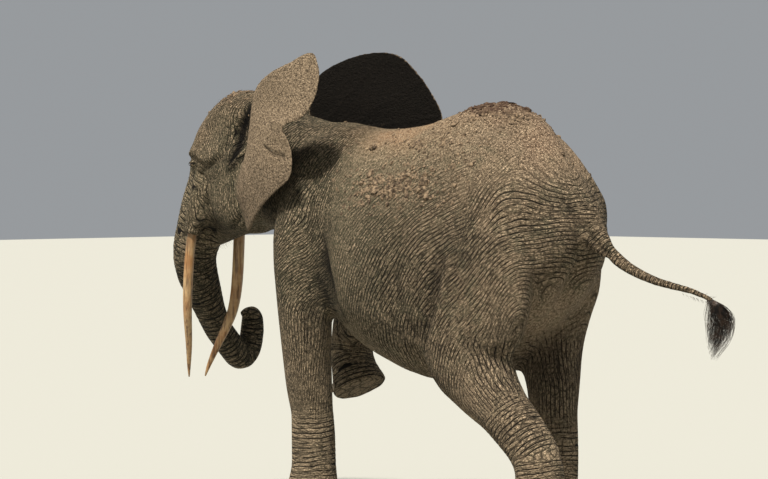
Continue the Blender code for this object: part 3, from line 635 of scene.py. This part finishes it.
def blend(tree, share, one, other):
    """The first colour, giving way to the other by the share."""
    return knot(tree, "Mix", {0: share, 6: one, 7: other}, data_type="RGBA").outputs[2]


def grain(tree, where, scale, detail=2.0, rough=0.5):
    """Cloudy noise of that many lumps to a metre."""
    return knot(tree, "TexNoise", {"Vector": where, "Scale": scale, "Detail": detail,
                "Roughness": rough}).outputs["Fac"]


def cracks(tree, where, scale, width):
    """0 in the cracks between cells of that many to a metre, 1 on the cells."""
    far = knot(tree, "TexVoronoi", {"Vector": where, "Scale": scale},
               feature="DISTANCE_TO_EDGE").outputs["Distance"]
    return band(tree, far, 0.0, width)


def parts(tree, vector):
    """The X, Y and Z of a shader vector."""
    return knot(tree, "SeparateXYZ", {0: vector}).outputs


def finish(name, roughness, specular):
    """A new material, its nodes, its shader and the place on the object."""
    made = bpy.data.materials.new(name)
    made.use_nodes = True
    tree = made.node_tree
    shader = tree.nodes["Principled BSDF"]
    shader.inputs["Roughness"].default_value = roughness
    shader.inputs["Specular IOR Level"].default_value = specular
    where = tree.nodes.new("ShaderNodeTexCoord").outputs["Object"]
    return made, tree, shader, where


def attribute(tree, name, output="Fac"):
    """What was marked at the vertices under that name."""
    return knot(tree, "Attribute", {}, attribute_name=name).outputs[output]


def dress(tree, shader, colour, height=0.0, distance=0.0, strength=0.0):
    """Give the shader its colour, and fine relief that many metres high."""
    tree.links.new(colour, shader.inputs["Base Color"])
    if strength:
        lifted = knot(tree, "Bump",
                      {"Height": height, "Distance": distance, "Strength": strength})
        tree.links.new(lifted.outputs["Normal"], shader.inputs["Normal"])


# Half width of the creases' dark lines, as a share of the pitch
LINE_WIDTHS = {"arc_creases": 0.24, "rump_creases": 0.24, "upright_creases": 0.20, "ring_creases": 0.22}
CELLS_ACROSS = 2.3  # cells to a crease
CELLS_ALONG = 17.0  # cells to a metre along it
SPLIT_DEPTH = 0.62
SKIN_DARK = tone(116, 103, 82)
SKIN_LIGHT = tone(154, 134, 108)
SKIN_COOL = tone(118, 115, 90)
CREASE = tone(22, 18, 13)
DUST = tone(196, 172, 142)
ORANGE_DUST = tone(186, 146, 108)
RED_EARTH = tone(150, 122, 98)
EAR_PALE = tone(158, 136, 110)
DEEP_SHADE = tone(13, 10, 6)

# Where orange dust and red-brown earth lie: place and reach
ORANGE_AT = [((-1.90, 0.0, 2.33), (0.10, 0.22, 0.13)), ((-0.15, -0.15, 2.33), (0.42, 0.30, 0.13)),
             ((-0.10, 0.15, 2.33), (0.40, 0.30, 0.13))]
EARTH_AT = [((0.62, 0.0, 2.48), (0.42, 0.40, 0.16)), ((0.95, 0.0, 2.28), (0.25, 0.35, 0.20)),
            ((-1.66, 0.0, 2.54), (0.30, 0.22, 0.15))]
# Painted shade on sides turned from the light, in hollows, and in the ears' cast shadow on the neck: place,
# reach and share
SHADE_AT = [((-0.90, -0.5, 1.85), (0.35, 0.5, 0.45), 0.10),  # shoulder
            ((0.12, -0.6, 1.68), (0.62, 0.6, 0.42), 0.26),  # flank
            ((-1.80, -0.2, 1.72), (0.18, 0.22, 0.10), 0.55),  # jaw, left and right
            ((-1.80, 0.2, 1.72), (0.18, 0.22, 0.10), 0.55),
            ((-0.53, -0.42, 1.36), (0.12, 0.30, 0.27), 0.60),  # behind the elbows
            ((-0.53, 0.42, 1.36), (0.12, 0.30, 0.27), 0.60),
            ((-0.95, 0.30, 1.20), (0.20, 0.20, 0.16), 0.75),  # right upper arm
            ((0.66, 0.20, 1.05), (0.30, 0.25, 0.40), 0.45),  # right thigh
            ((-1.22, -0.35, 2.05), (0.13, 0.3, 0.36), 0.7),  # neck, left and right
            ((-1.22, 0.35, 2.05), (0.13, 0.3, 0.36), 0.7)]
# Painted shade: in the furrows, on the lower ears, down the trunk, on the right ear's inner side, in the
# ears' folds and in the hollow before the ear
FURROW_SHADE = 0.55
FURROW_FULL = 0.014  # furrows of this depth take their whole shade
LOW_EAR_SHADE = 0.28
TRUNK_SHADE = 0.35
INNER_EAR_SHADE = 1.15  # on the right ear, whose inner side is seen
VEIN_PALE = 0.16
EAR_FOLD_SHADE = 0.4
EAR_HOLLOW_SHADE = 0.75
# Where the hide is mixed toward the pale dust colour, besides the shins: place, reach and share
PALE_AT = [((-1.85, 0, 2.28), (0.16, 0.5, 0.16), 0.9),  # forehead
           ((0.9, 0, 2.05), (0.4, 0.8, 0.22), 0.1)]  # rump
BETWEEN_LEGS = ((0, 0, 1.1), (0.5, 2, 0.3))

patches = []
for spots, size, seed in ((ORANGE_AT, 0.09, 21), (EARTH_AT, 0.08, 23)):
    here = np.max([bell(own, spot, reach) for spot, reach in spots], axis=0)
    patches.append(np.clip(here * (1 + 0.7 * murmur(own, size, seed)), 0, 1))
# The shade mark: painted shade in furrows, hollows, undersides, the ears' cast shadow, the trunk and the
# right ear's inner side; paler along the ears' veins
furrow = np.zeros(len(own))
for line, width, amount in FACE_FOLDS + BODY_FOLDS:
    press(own, furrow, line, width, amount)
shade = FURROW_SHADE * np.minimum(furrow / FURROW_FULL, 1.0)
shade += (1 - ear) * bells(own, SHADE_AT)
shade += LOW_EAR_SHADE * ear * ramp(-own[:, 2], -2.25, -2.0)
shade += TRUNK_SHADE * ramp(along(own, TRUNK_LINE)[0], 0.45, 0.85)
shade += INNER_EAR_SHADE * ear * ramp(own[:, 1], 0.0, 0.1) * ramp(-facings(hide.data)[:, 1], 0.1, 0.4)
on_ears = ear > 0.5
waver = 0.016 * murmur(own[on_ears], 0.10, 42)
for vein in EAR_VEINS:
    shade[on_ears] -= VEIN_PALE * fade(off_ear_line(own[on_ears], vein) + waver, 0.006)
for line, width, amount, way in EAR_FOLDS:
    if amount > 0:
        this = on_ears & (own[:, 1] * way > 0)
        shade[this] += EAR_FOLD_SHADE * fade(off_ear_line(own[this], line), 0.6 * width)
hollow = np.zeros(len(own))
press(own, hollow, *EAR_HOLLOW)
shade += EAR_HOLLOW_SHADE * hollow / FURROW_FULL
shins = ramp(-own[:, 2], -1.35, -0.9) * (own[:, 0] > FACE_EDGE) * np.where(own[:, 0] < 0, 1.5, 0.6)
pale = shins * (1 - 0.8 * bell(own, *BETWEEN_LEGS)) + bells(own, PALE_AT)
mark(hide.data, "shade", np.clip(shade, 0, 1))
mark(hide.data, "pale", np.clip(pale, 0, 1) * (0.75 + 0.25 * murmur(own, 0.12, 41)))
mark(hide.data, "dust", np.stack((*patches, ear), 1))

skin, tree, shader, where = finish("hide", 0.88, 0.15)
place = parts(tree, where)
broken = band(tree, grain(tree, where, 16.0, 1.0), 0.34, 0.54, 0.45, 1.0)
ridge = 1.0
for name, sharp in LINE_WIDTHS.items():
    creases = parts(tree, attribute(tree, name, "Vector"))
    line = band(tree, sums(tree, "PINGPONG", creases["X"], 0.5), 0.0, sharp, 1.0, 0.0)
    # Between the lines the skin is parted into long cells, a crease wide and a finger long
    cells = knot(tree, "CombineXYZ", {
        "X": times(tree, creases["Y"], CELLS_ACROSS),
        "Y": times(tree, place["Y"], CELLS_ALONG),
        "Z": times(tree, place["Z"], CELLS_ALONG)}).outputs[0]
    split = times(tree, sums(tree, "SUBTRACT", 1.0, cracks(tree, cells, 1.0, 0.15)), SPLIT_DEPTH)
    cut = sums(tree, "MAXIMUM", times(tree, line, broken), split)
    ridge = sums(tree, "SUBTRACT", ridge, times(tree, cut, creases["Z"]))
ridge = sums(tree, "MAXIMUM", ridge, 0.0)
marks = parts(tree, attribute(tree, "dust", "Vector"))
on_ear = marks["Z"]

wander = knot(tree, "TexNoise", {"Vector": where, "Scale": 22.0, "Detail": 2.0}).outputs["Color"]
bent = knot(tree, "VectorMath", {0: wander, "Scale": 0.02}, operation="SCALE").outputs[0]
bent = knot(tree, "VectorMath", {0: where, 1: bent}, operation="ADD").outputs[0]
big_cells = cracks(tree, bent, 60.0, 0.14)
small_cells = cracks(tree, bent, 120.0, 0.14)
grit = grain(tree, where, 260.0, 3.0, 0.65)
speck = grain(tree, where, 75.0, 2.0, 0.6)
broad = grain(tree, where, 2.3, 4.0, 0.6)
blotch = grain(tree, where, 9.0, 4.0, 0.65)
pebbles = grain(tree, where, 62.0, 3.0, 0.7)
# The fore part is a cooler grey
fore_part = band(tree, place["X"], MIDDLE.x + 0.6, MIDDLE.x - 0.1, 0.0, 0.55)
dusty = times(tree, band(tree, ridge, 0.55, 1.0), band(tree, speck, 0.40, 0.62, 0.0, 0.80))
cell_edges = band(tree, times(tree, big_cells, small_cells), 0.8, 0.0, 0.0, 0.30)
colour = blend(tree, band(tree, broad, 0.35, 0.65), SKIN_DARK, SKIN_LIGHT)
for share, over in (
        (band(tree, blotch, 0.45, 0.70, 0.0, 0.6), SKIN_COOL),
        (fore_part, SKIN_COOL),
        (times(tree, on_ear, 0.85), EAR_PALE),
        (times(tree, on_ear, band(tree, pebbles, 0.50, 0.36, 0.0, 0.50)), CREASE),
        (times(tree, on_ear, band(tree, pebbles, 0.53, 0.66, 0.0, 0.7)), DUST),
        (times(tree, marks["X"], 0.7), ORANGE_DUST),
        (times(tree, marks["Y"], 0.8), RED_EARTH),
        (times(tree, attribute(tree, "pale"), 0.55), DUST),
        (dusty, DUST),
        (band(tree, speck, 0.50, 0.34, 0.0, 0.40), CREASE),
        # dark cell edges and crease lines: partly earth, partly painted shade in the grooves
        (cell_edges, CREASE),
        (band(tree, ridge, 0.80, 0.15, 0.0, 1.0), CREASE),
        # painted shade, from the shade mark
        (times(tree, attribute(tree, "shade"), 0.985), DEEP_SHADE)):
    colour = blend(tree, share, colour, over)
height = times(tree, ridge, 1.1)
for relief, share in ((times(tree, on_ear, pebbles), 2.0), (big_cells, 0.32), (small_cells, 0.16),
                      (grit, 0.08)):
    height = sums(tree, "MULTIPLY_ADD", relief, share, height)
dress(tree, shader, colour, height, 0.024, 1.0)

hide.data.materials.append(skin)
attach(hide, "root")
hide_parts(*BODY_PARTS, *EAR_PARTS)

# -------------------- Tusks
# Two curved teeth of ivory, worn smooth, stained brown where they leave the lip and
# cracked lengthwise; each is rooted in its sheath in the cheek.
TUSK_ROUND = 0.0012  # rounding draws the facets in, so they are first let out by this
TUSK_TOP, TUSK_LOW = 1.80, 0.765  # heights of the tusks' roots and tips


def rounded_copy(name, node, levels, swell):
    """A part's own solid, let out a little and rounded."""
    thing = merged_copy(name, [node])
    for vert in thing.data.vertices:
        vert.co += vert.normal * swell
    smoother = thing.modifiers.new("round", "SUBSURF")
    smoother.levels = levels
    smoother.render_levels = levels
    settle(thing)
    thing.data.shade_smooth()
    return thing


IVORY_PALE = tone(182, 152, 110)
IVORY_OLD = tone(150, 108, 66)
IVORY_STAIN = tone(70, 45, 26)
ivory, tree, shader, where = finish("ivory", 0.42, 0.45)
fibre = knot(tree, "Mapping", {"Vector": where, "Scale": (70.0, 70.0, 5.0)}).outputs[0]
streak = grain(tree, fibre, 1.0, 4.0, 0.6)
cloud = grain(tree, where, 9.0, 3.0, 0.6)
run = attribute(tree, "run")
colour = blend(tree, band(tree, cloud, 0.35, 0.7), IVORY_PALE, IVORY_OLD)
colour = blend(tree, band(tree, streak, 0.46, 0.66, 0.0, 0.75), colour, IVORY_STAIN)
at_lip = band(tree, sums(tree, "MULTIPLY_ADD", cloud, 0.25, run), 0.42, 0.10, 0.0, 0.85)
colour = blend(tree, at_lip, colour, IVORY_STAIN)
dress(tree, shader, colour, streak, 0.0015, 0.6)
for side in ("left", "right"):
    tusk = rounded_copy("ivory_tusk_" + side, "tusk_" + side, 2, TUSK_ROUND)
    high_up = places(tusk.data)[:, 2] - MIDDLE.z
    mark(tusk.data, "run", np.clip((TUSK_TOP - high_up) / (TUSK_TOP - TUSK_LOW), 0, 1))
    tusk.data.materials.append(ivory)
    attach(tusk, "root")
    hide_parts("tusk_" + side)

# -------------------- Eyes
# Small brown eyes, wet and glossy, set deep under the brow, each looking to its own side.
EYE_BROWN = tone(96, 58, 28)
EYE_DARK = tone(20, 13, 9)
EYE_RIM = tone(62, 48, 38)
EYE_ROUND = 0.0006
iris, tree, shader, where = finish("eye", 0.06, 0.6)
turn_off = attribute(tree, "gaze")  # distance from the middle of the pupil, in radii
rays = grain(tree, where, 420.0, 2.0, 0.6)
colour = blend(tree, band(tree, rays, 0.35, 0.7), EYE_BROWN, EYE_DARK)
colour = blend(tree, band(tree, turn_off, 0.30, 0.24), colour, EYE_DARK)
colour = blend(tree, band(tree, turn_off, 0.62, 0.74), colour, EYE_RIM)
dress(tree, shader, colour, rays, 0.0002, 0.4)
for side, way in (("left", -1), ("right", 1)):
    eyeball = rounded_copy("eyeball_" + side, "eye_" + side, 2, EYE_ROUND)
    centre = np.array(MIDDLE) + np.array(EYE_PLACE) * (1, way, 1)
    gaze = np.array(EYE_GAZE) * (1, way, 1)
    off = np.linalg.norm((places(eyeball.data) - centre) / EYE_RADIUS - gaze, axis=1)
    mark(eyeball.data, "gaze", off)
    eyeball.data.materials.append(iris)
    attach(eyeball, "root")
    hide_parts("eye_" + side)

# -------------------- Toenails
# Blunt plates of horn bedded in the front of each foot, dusty and finely ridged.
HORN_PALE = tone(150, 134, 112)
HORN_DARK = tone(88, 76, 62)
NAIL_ROUND = 0.0008
horn, tree, shader, where = finish("horn", 0.62, 0.35)
upright_grain = knot(tree, "Mapping", {"Vector": where, "Scale": (160.0, 160.0, 22.0)}).outputs[0]
lines = grain(tree, upright_grain, 1.0, 3.0, 0.6)
soil = grain(tree, where, 40.0, 3.0, 0.65)
colour = blend(tree, band(tree, lines, 0.35, 0.65), HORN_DARK, HORN_PALE)
colour = blend(tree, band(tree, soil, 0.5, 0.75, 0.0, 0.7), colour, CREASE)
dress(tree, shader, colour, lines, 0.001, 0.6)
for node in sorted(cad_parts):
    if "_nail_" in node:
        nail = rounded_copy("horn_" + node, node, 1, NAIL_ROUND)
        nail.data.materials.append(horn)
        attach(nail, "root")
        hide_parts(node)

# -------------------- Tail tuft
# Stiff black bristles as thick as wire, rooted along both sides of the tail's end, and
# hanging in a loose brush that the wind has opened to one side.
BRISTLES = 520
BRISTLE_THICK = 0.0011
BRISTLE_LENGTH = (0.22, 0.345)
BRISTLE_STEPS = 10
ROOTS_ALONG = 0.25  # the bristles are rooted along this share of the tail's last length
TAIL_RADIUS = 0.012
WIND = 0.115 * Vector((0.707, 0.707, 0))
FAN = (0.004, 0.024)  # how far the brush opens of itself
CURL = 0.004
BRISTLE_DARK = tone(22, 18, 15)
BRISTLE_BROWN = tone(58, 44, 34)
UV_PATCH = 0.003  # side of the small patch of the map that a hair or a crumb takes
THIRD_TURN = 2.0944
bristle, tree, shader, where = finish("bristle", 0.45, 0.4)
streaks = grain(tree, where, 30.0)
dress(tree, shader, blend(tree, band(tree, streaks, 0.35, 0.7), BRISTLE_DARK, BRISTLE_BROWN))


def map_face(face, patch, at, corners):
    """Lay a face's corners out about one place of the map."""
    for loop, corner in zip(face.loops, corners):
        loop[patch].uv = (at[0] + UV_PATCH * corner[0], at[1] + UV_PATCH * corner[1])


def hair(bm, patch, path, thick, at):
    """One hair: a tapered three-sided blade along its path, its faces mapped to one small patch."""
    rings = []
    for i, place in enumerate(path):
        ahead = (path[min(i + 1, len(path) - 1)] - path[max(i - 1, 0)]).normalized()
        side = ahead.orthogonal().normalized()
        up = ahead.cross(side)
        wide = thick * (1 - 0.75 * i / (len(path) - 1))
        rings.append([bm.verts.new(place + wide * (side * math.cos(turn) + up * math.sin(turn)))
                      for turn in (0.0, THIRD_TURN, 2 * THIRD_TURN)])
    for one, other in zip(rings, rings[1:]):
        for k in range(3):
            face = bm.faces.new((one[k], one[(k + 1) % 3], other[(k + 1) % 3], other[k]))
            map_face(face, patch, at, ((0, 0), (1, 0), (1, 1), (0, 1)))
    for ring in (rings[0][::-1], rings[-1]):
        map_face(bm.faces.new(ring), patch, at, ((0, 0), (0, 0), (0, 0)))


def new_piece():
    """An empty mesh with the map that the baking reads."""
    bm = bmesh.new()
    return bm, bm.loops.layers.uv.new("OFBake")


def joined_piece(name, bm, made):
    """The finished mesh as one object, riding on the body."""
    bmesh.ops.recalc_face_normals(bm, faces=bm.faces)
    mesh = bpy.data.meshes.new(name)
    bm.to_mesh(mesh)
    bm.free()
    mesh.shade_smooth()
    mesh.materials.append(made)
    thing = placed(name, mesh)
    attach(thing, "root")
    return thing


stalk = [MIDDLE + Vector(p[:3]) for p in TAIL_LINE]
bm, patch = new_piece()
for _ in range(BRISTLES):
    share = random.random() ** 1.6
    root = stalk[-1].lerp(stalk[-2], ROOTS_ALONG * share)
    turn = random.uniform(0, 2 * math.pi)
    spread = Vector((math.cos(turn), math.sin(turn), 0))
    length = random.uniform(*BRISTLE_LENGTH) * (1 - 0.30 * share)
    blown = random.random() * WIND
    fan = random.uniform(*FAN)
    path = []
    for k in range(BRISTLE_STEPS + 1):
        t = k / BRISTLE_STEPS
        sway = blown * math.sin(math.pi * t) + spread * fan * math.sin(2.6 * t)
        curl = spread * CURL * math.sin(8 * t + turn)
        path.append(root + spread * TAIL_RADIUS + sway + curl - Vector((0, 0, length * t)))
    hair(bm, patch, path, BRISTLE_THICK, (turn / (2 * math.pi) * 0.9, 0.9 * share))
brush = joined_piece("tail_brush", bm, bristle)
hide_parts("tail_tuft")

# -------------------- Dried mud
# Crumbs and clods of dried mud that the animal has thrown over its back, shoulder and
# crown, stuck to the dusty hide; one joined mesh.
# Place, reach, how many, size
MUD_SPOTS = [((0.55, -0.10, 2.47), (0.13, 0.09, 0.05), 330, 0.0105),
             ((0.06, -0.46, 2.00), (0.22, 0.05, 0.080), 520, 0.0098),
             ((0.33, -0.36, 2.25), (0.20, 0.10, 0.09), 230, 0.0072),
             ((-0.10, -0.28, 2.29), (0.28, 0.07, 0.04), 90, 0.0085),
             ((-1.70, -0.04, 2.54), (0.10, 0.09, 0.04), 210, 0.0070),
             ((0.45, 0.20, 2.42), (0.45, 0.18, 0.07), 160, 0.0085)]
SIZE_SPREAD = 0.45
ROUGHNESS = 0.25  # how far a crumb's corners stray, as a share of its size
MUD_DARK = tone(62, 52, 42)
MUD_PALE = tone(134, 115, 92)
MUD_WET = tone(58, 38, 30)
hide_tree = BVHTree.FromObject(hide, bpy.context.evaluated_depsgraph_get())


def unrolled(place):
    """Where a place falls on the hide cut along the belly and unrolled."""
    off = place - MIDDLE
    run = (off.x + 2.45) / 4.6
    turn = math.atan2(off.y, off.z - 1.7) / (2 * math.pi) + 0.5
    return (0.03 + 0.93 * run, 0.03 + 0.93 * turn)


def strewn(centre, reach):
    """A random place on the hide about a centre, and the way the hide faces there."""
    guess = MIDDLE + Vector([c + random.gauss(0, 1) * r for c, r in zip(centre, reach)])
    return hide_tree.find_nearest(guess)[:2]


bm, patch = new_piece()
for centre, reach, count, size in MUD_SPOTS:
    for _ in range(count):
        root, facing = strewn(centre, reach)
        big = size * random.lognormvariate(0, SIZE_SPREAD)
        turn = facing.to_track_quat("Z", "Y").to_matrix().to_4x4()
        form = Matrix.Diagonal((big, big * random.uniform(0.6, 1.1), big * random.uniform(0.4, 0.75), 1))
        spin = Matrix.Rotation(random.uniform(0, 6.28), 4, "Z")
        lump = bmesh.ops.create_icosphere(bm, subdivisions=1, radius=1.0,
                                          matrix=Matrix.Translation(root) @ turn @ spin @ form)
        for vert in lump["verts"]:
            vert.co += Vector([random.uniform(-ROUGHNESS, ROUGHNESS) * big for _ in range(3)])
        at = unrolled(root)
        for face in {f for v in lump["verts"] for f in v.link_faces}:
            map_face(face, patch, at, ((0, 0), (1, 0), (0.5, 1)))
mud, tree, shader, where = finish("mud", 0.95, 0.15)
crumb = grain(tree, where, 55.0, 3.0, 0.6)
colour = blend(tree, band(tree, crumb, 0.35, 0.65), MUD_DARK, MUD_PALE)
# On top of the rump it is still damp
place = parts(tree, where)
wet = times(tree, band(tree, place["Z"], MIDDLE.z + 2.40, MIDDLE.z + 2.46, 0.0, 0.65),
            band(tree, place["X"], MIDDLE.x - 0.6, MIDDLE.x))
colour = blend(tree, wet, colour, MUD_WET)
dress(tree, shader, colour, grain(tree, where, 220.0, 3.0, 0.7), 0.003, 0.8)
clods = joined_piece("mud_clods", bm, mud)
clods.data.shade_flat()

# -------------------- Lashes and stray hair
# Long dark lashes along the upper lids, stiff stray hairs on crown, chin, back and trunk,
# and a fringe of short bristles down both edges of the tail.
LASHES = 20
LASH_LENGTH = (0.007, 0.011)
LASH_THICK = 0.0007
LASH_DROP = 0.45  # how far a lash bends down, as a share of its length
LASH_STEPS = (0, 0.3, 0.6, 0.85, 1)
# Place, reach, how many, length
STRAY_SPOTS = [((-1.72, 0.0, 2.55), (0.16, 0.13, 0.05), 170, 0.030),
               ((-1.95, 0.0, 1.62), (0.09, 0.06, 0.04), 40, 0.030),
               ((-0.2, 0.0, 2.45), (0.60, 0.12, 0.05), 190, 0.024),
               ((-2.15, 0.0, 1.95), (0.07, 0.12, 0.25), 90, 0.018)]
STRAY_THICK = 0.0006
STRAY_DROP = 0.2
STRAY_STEPS = (0, 0.35, 0.7, 1)
FRINGE = 60
FRINGE_LENGTH = (0.010, 0.026)
FRINGE_OUT = 0.018  # the tail's radius there
FRINGE_THICK = 0.0008
bm, patch = new_piece()
for way in (-1, 1):
    centre = MIDDLE + EYE_PLACE * Vector((1, way, 1))
    gaze = EYE_GAZE * Vector((1, way, 1))
    up = (Vector((0, 0, 1)) - gaze * gaze.z).normalized()
    fore = up.cross(gaze)
    for i in range(LASHES):
        across = 2 * i / (LASHES - 1) - 1
        root = centre + gaze * 0.023 + fore * across * 0.022 + up * (0.0105 * (1 - across ** 2) + 0.001)
        reach = random.uniform(*LASH_LENGTH)
        aim = (gaze * 0.45 + fore * across * 0.4 - up * 0.8).normalized()
        path = [root + aim * reach * t - Vector((0, 0, LASH_DROP * reach * t * t)) for t in LASH_STEPS]
        hair(bm, patch, path, LASH_THICK, unrolled(root))
for centre, reach, count, length in STRAY_SPOTS:
    for _ in range(count):
        root, facing = strewn(centre, reach)
        lie = (facing * 0.8 + Vector((0.6, random.uniform(-0.3, 0.3), -0.25))).normalized()
        out = length * random.uniform(0.6, 1.3)
        path = [root - facing * 0.002 + lie * out * t - Vector((0, 0, STRAY_DROP * out * t * t))
                for t in STRAY_STEPS]
        hair(bm, patch, path, STRAY_THICK, unrolled(root))
for _ in range(FRINGE):
    middle = stalk[-3].lerp(stalk[-1], 0.45 + 0.55 * random.random())
    way = random.choice((-1, 1))
    side = Vector((0.1, 0.5 * way, 0.85 * way)).normalized()
    root = middle + side * FRINGE_OUT
    length = random.uniform(*FRINGE_LENGTH)
    path = [root + (side * 0.7 + Vector((0.7, 0.2, -0.3))) * length * t for t in STRAY_STEPS]
    hair(bm, patch, path, FRINGE_THICK, unrolled(root))
joined_piece("lashes_and_hair", bm, bristle)

# -------------------- Floor, lights and camera
# A plain pale floor that reaches out of sight, a broad soft key light from the animal's
# upper left, a weak even sky, and a long lens behind its left hip.
FLOOR_REACH = 60.0
FLOOR_PALE = tone(168, 168, 160)
SUN_FROM = Vector((0.14, -0.47, 0.87))
SUN_STRENGTH = 6.9
SUN_SPREAD = 0.14  # radians
SUN_COLOUR = (1.0, 0.95, 0.88)
SKY_COLOUR = (0.84, 0.88, 0.92, 1.0)
SKY_STRENGTH = 0.37
CAMERA_AT = Vector((16.73, -17.21, 2.20))
CAMERA_AIM = Vector((-0.24, -0.24, 1.67))
CAMERA_LENS = 186.2
CAMERA_SENSOR = 36.0
CAMERA_SEES = 200.0

floor_shape = bmesh.new()
bmesh.ops.create_grid(floor_shape, x_segments=1, y_segments=1, size=FLOOR_REACH)
floor_mesh = bpy.data.meshes.new("floor")
floor_shape.to_mesh(floor_mesh)
floor_shape.free()
floor = placed("floor", floor_mesh)
ground, tree, shader, where = finish("floor", 0.9, 0.1)
shader.inputs["Base Color"].default_value = FLOOR_PALE
floor_mesh.materials.append(ground)

sun = bpy.data.lights.new("key", "SUN")
sun.angle = SUN_SPREAD
sun.energy = SUN_STRENGTH
sun.color = SUN_COLOUR
placed("key", sun).rotation_euler = (-SUN_FROM).to_track_quat("-Z", "Y").to_euler()
world = bpy.data.worlds.new("studio")
world.use_nodes = True
sky = world.node_tree.nodes["Background"]
sky.inputs["Color"].default_value = SKY_COLOUR
sky.inputs["Strength"].default_value = SKY_STRENGTH
bpy.context.scene.world = world
bpy.context.scene.view_settings.view_transform = "Standard"

lens = bpy.data.cameras.new("camera")
lens.lens = CAMERA_LENS
lens.sensor_width = CAMERA_SENSOR
lens.clip_end = CAMERA_SEES
camera = placed("camera", lens)
camera.location = CAMERA_AT + MIDDLE
camera.rotation_euler = (CAMERA_AIM - CAMERA_AT).to_track_quat("-Z", "Y").to_euler()
bpy.context.scene.camera = camera
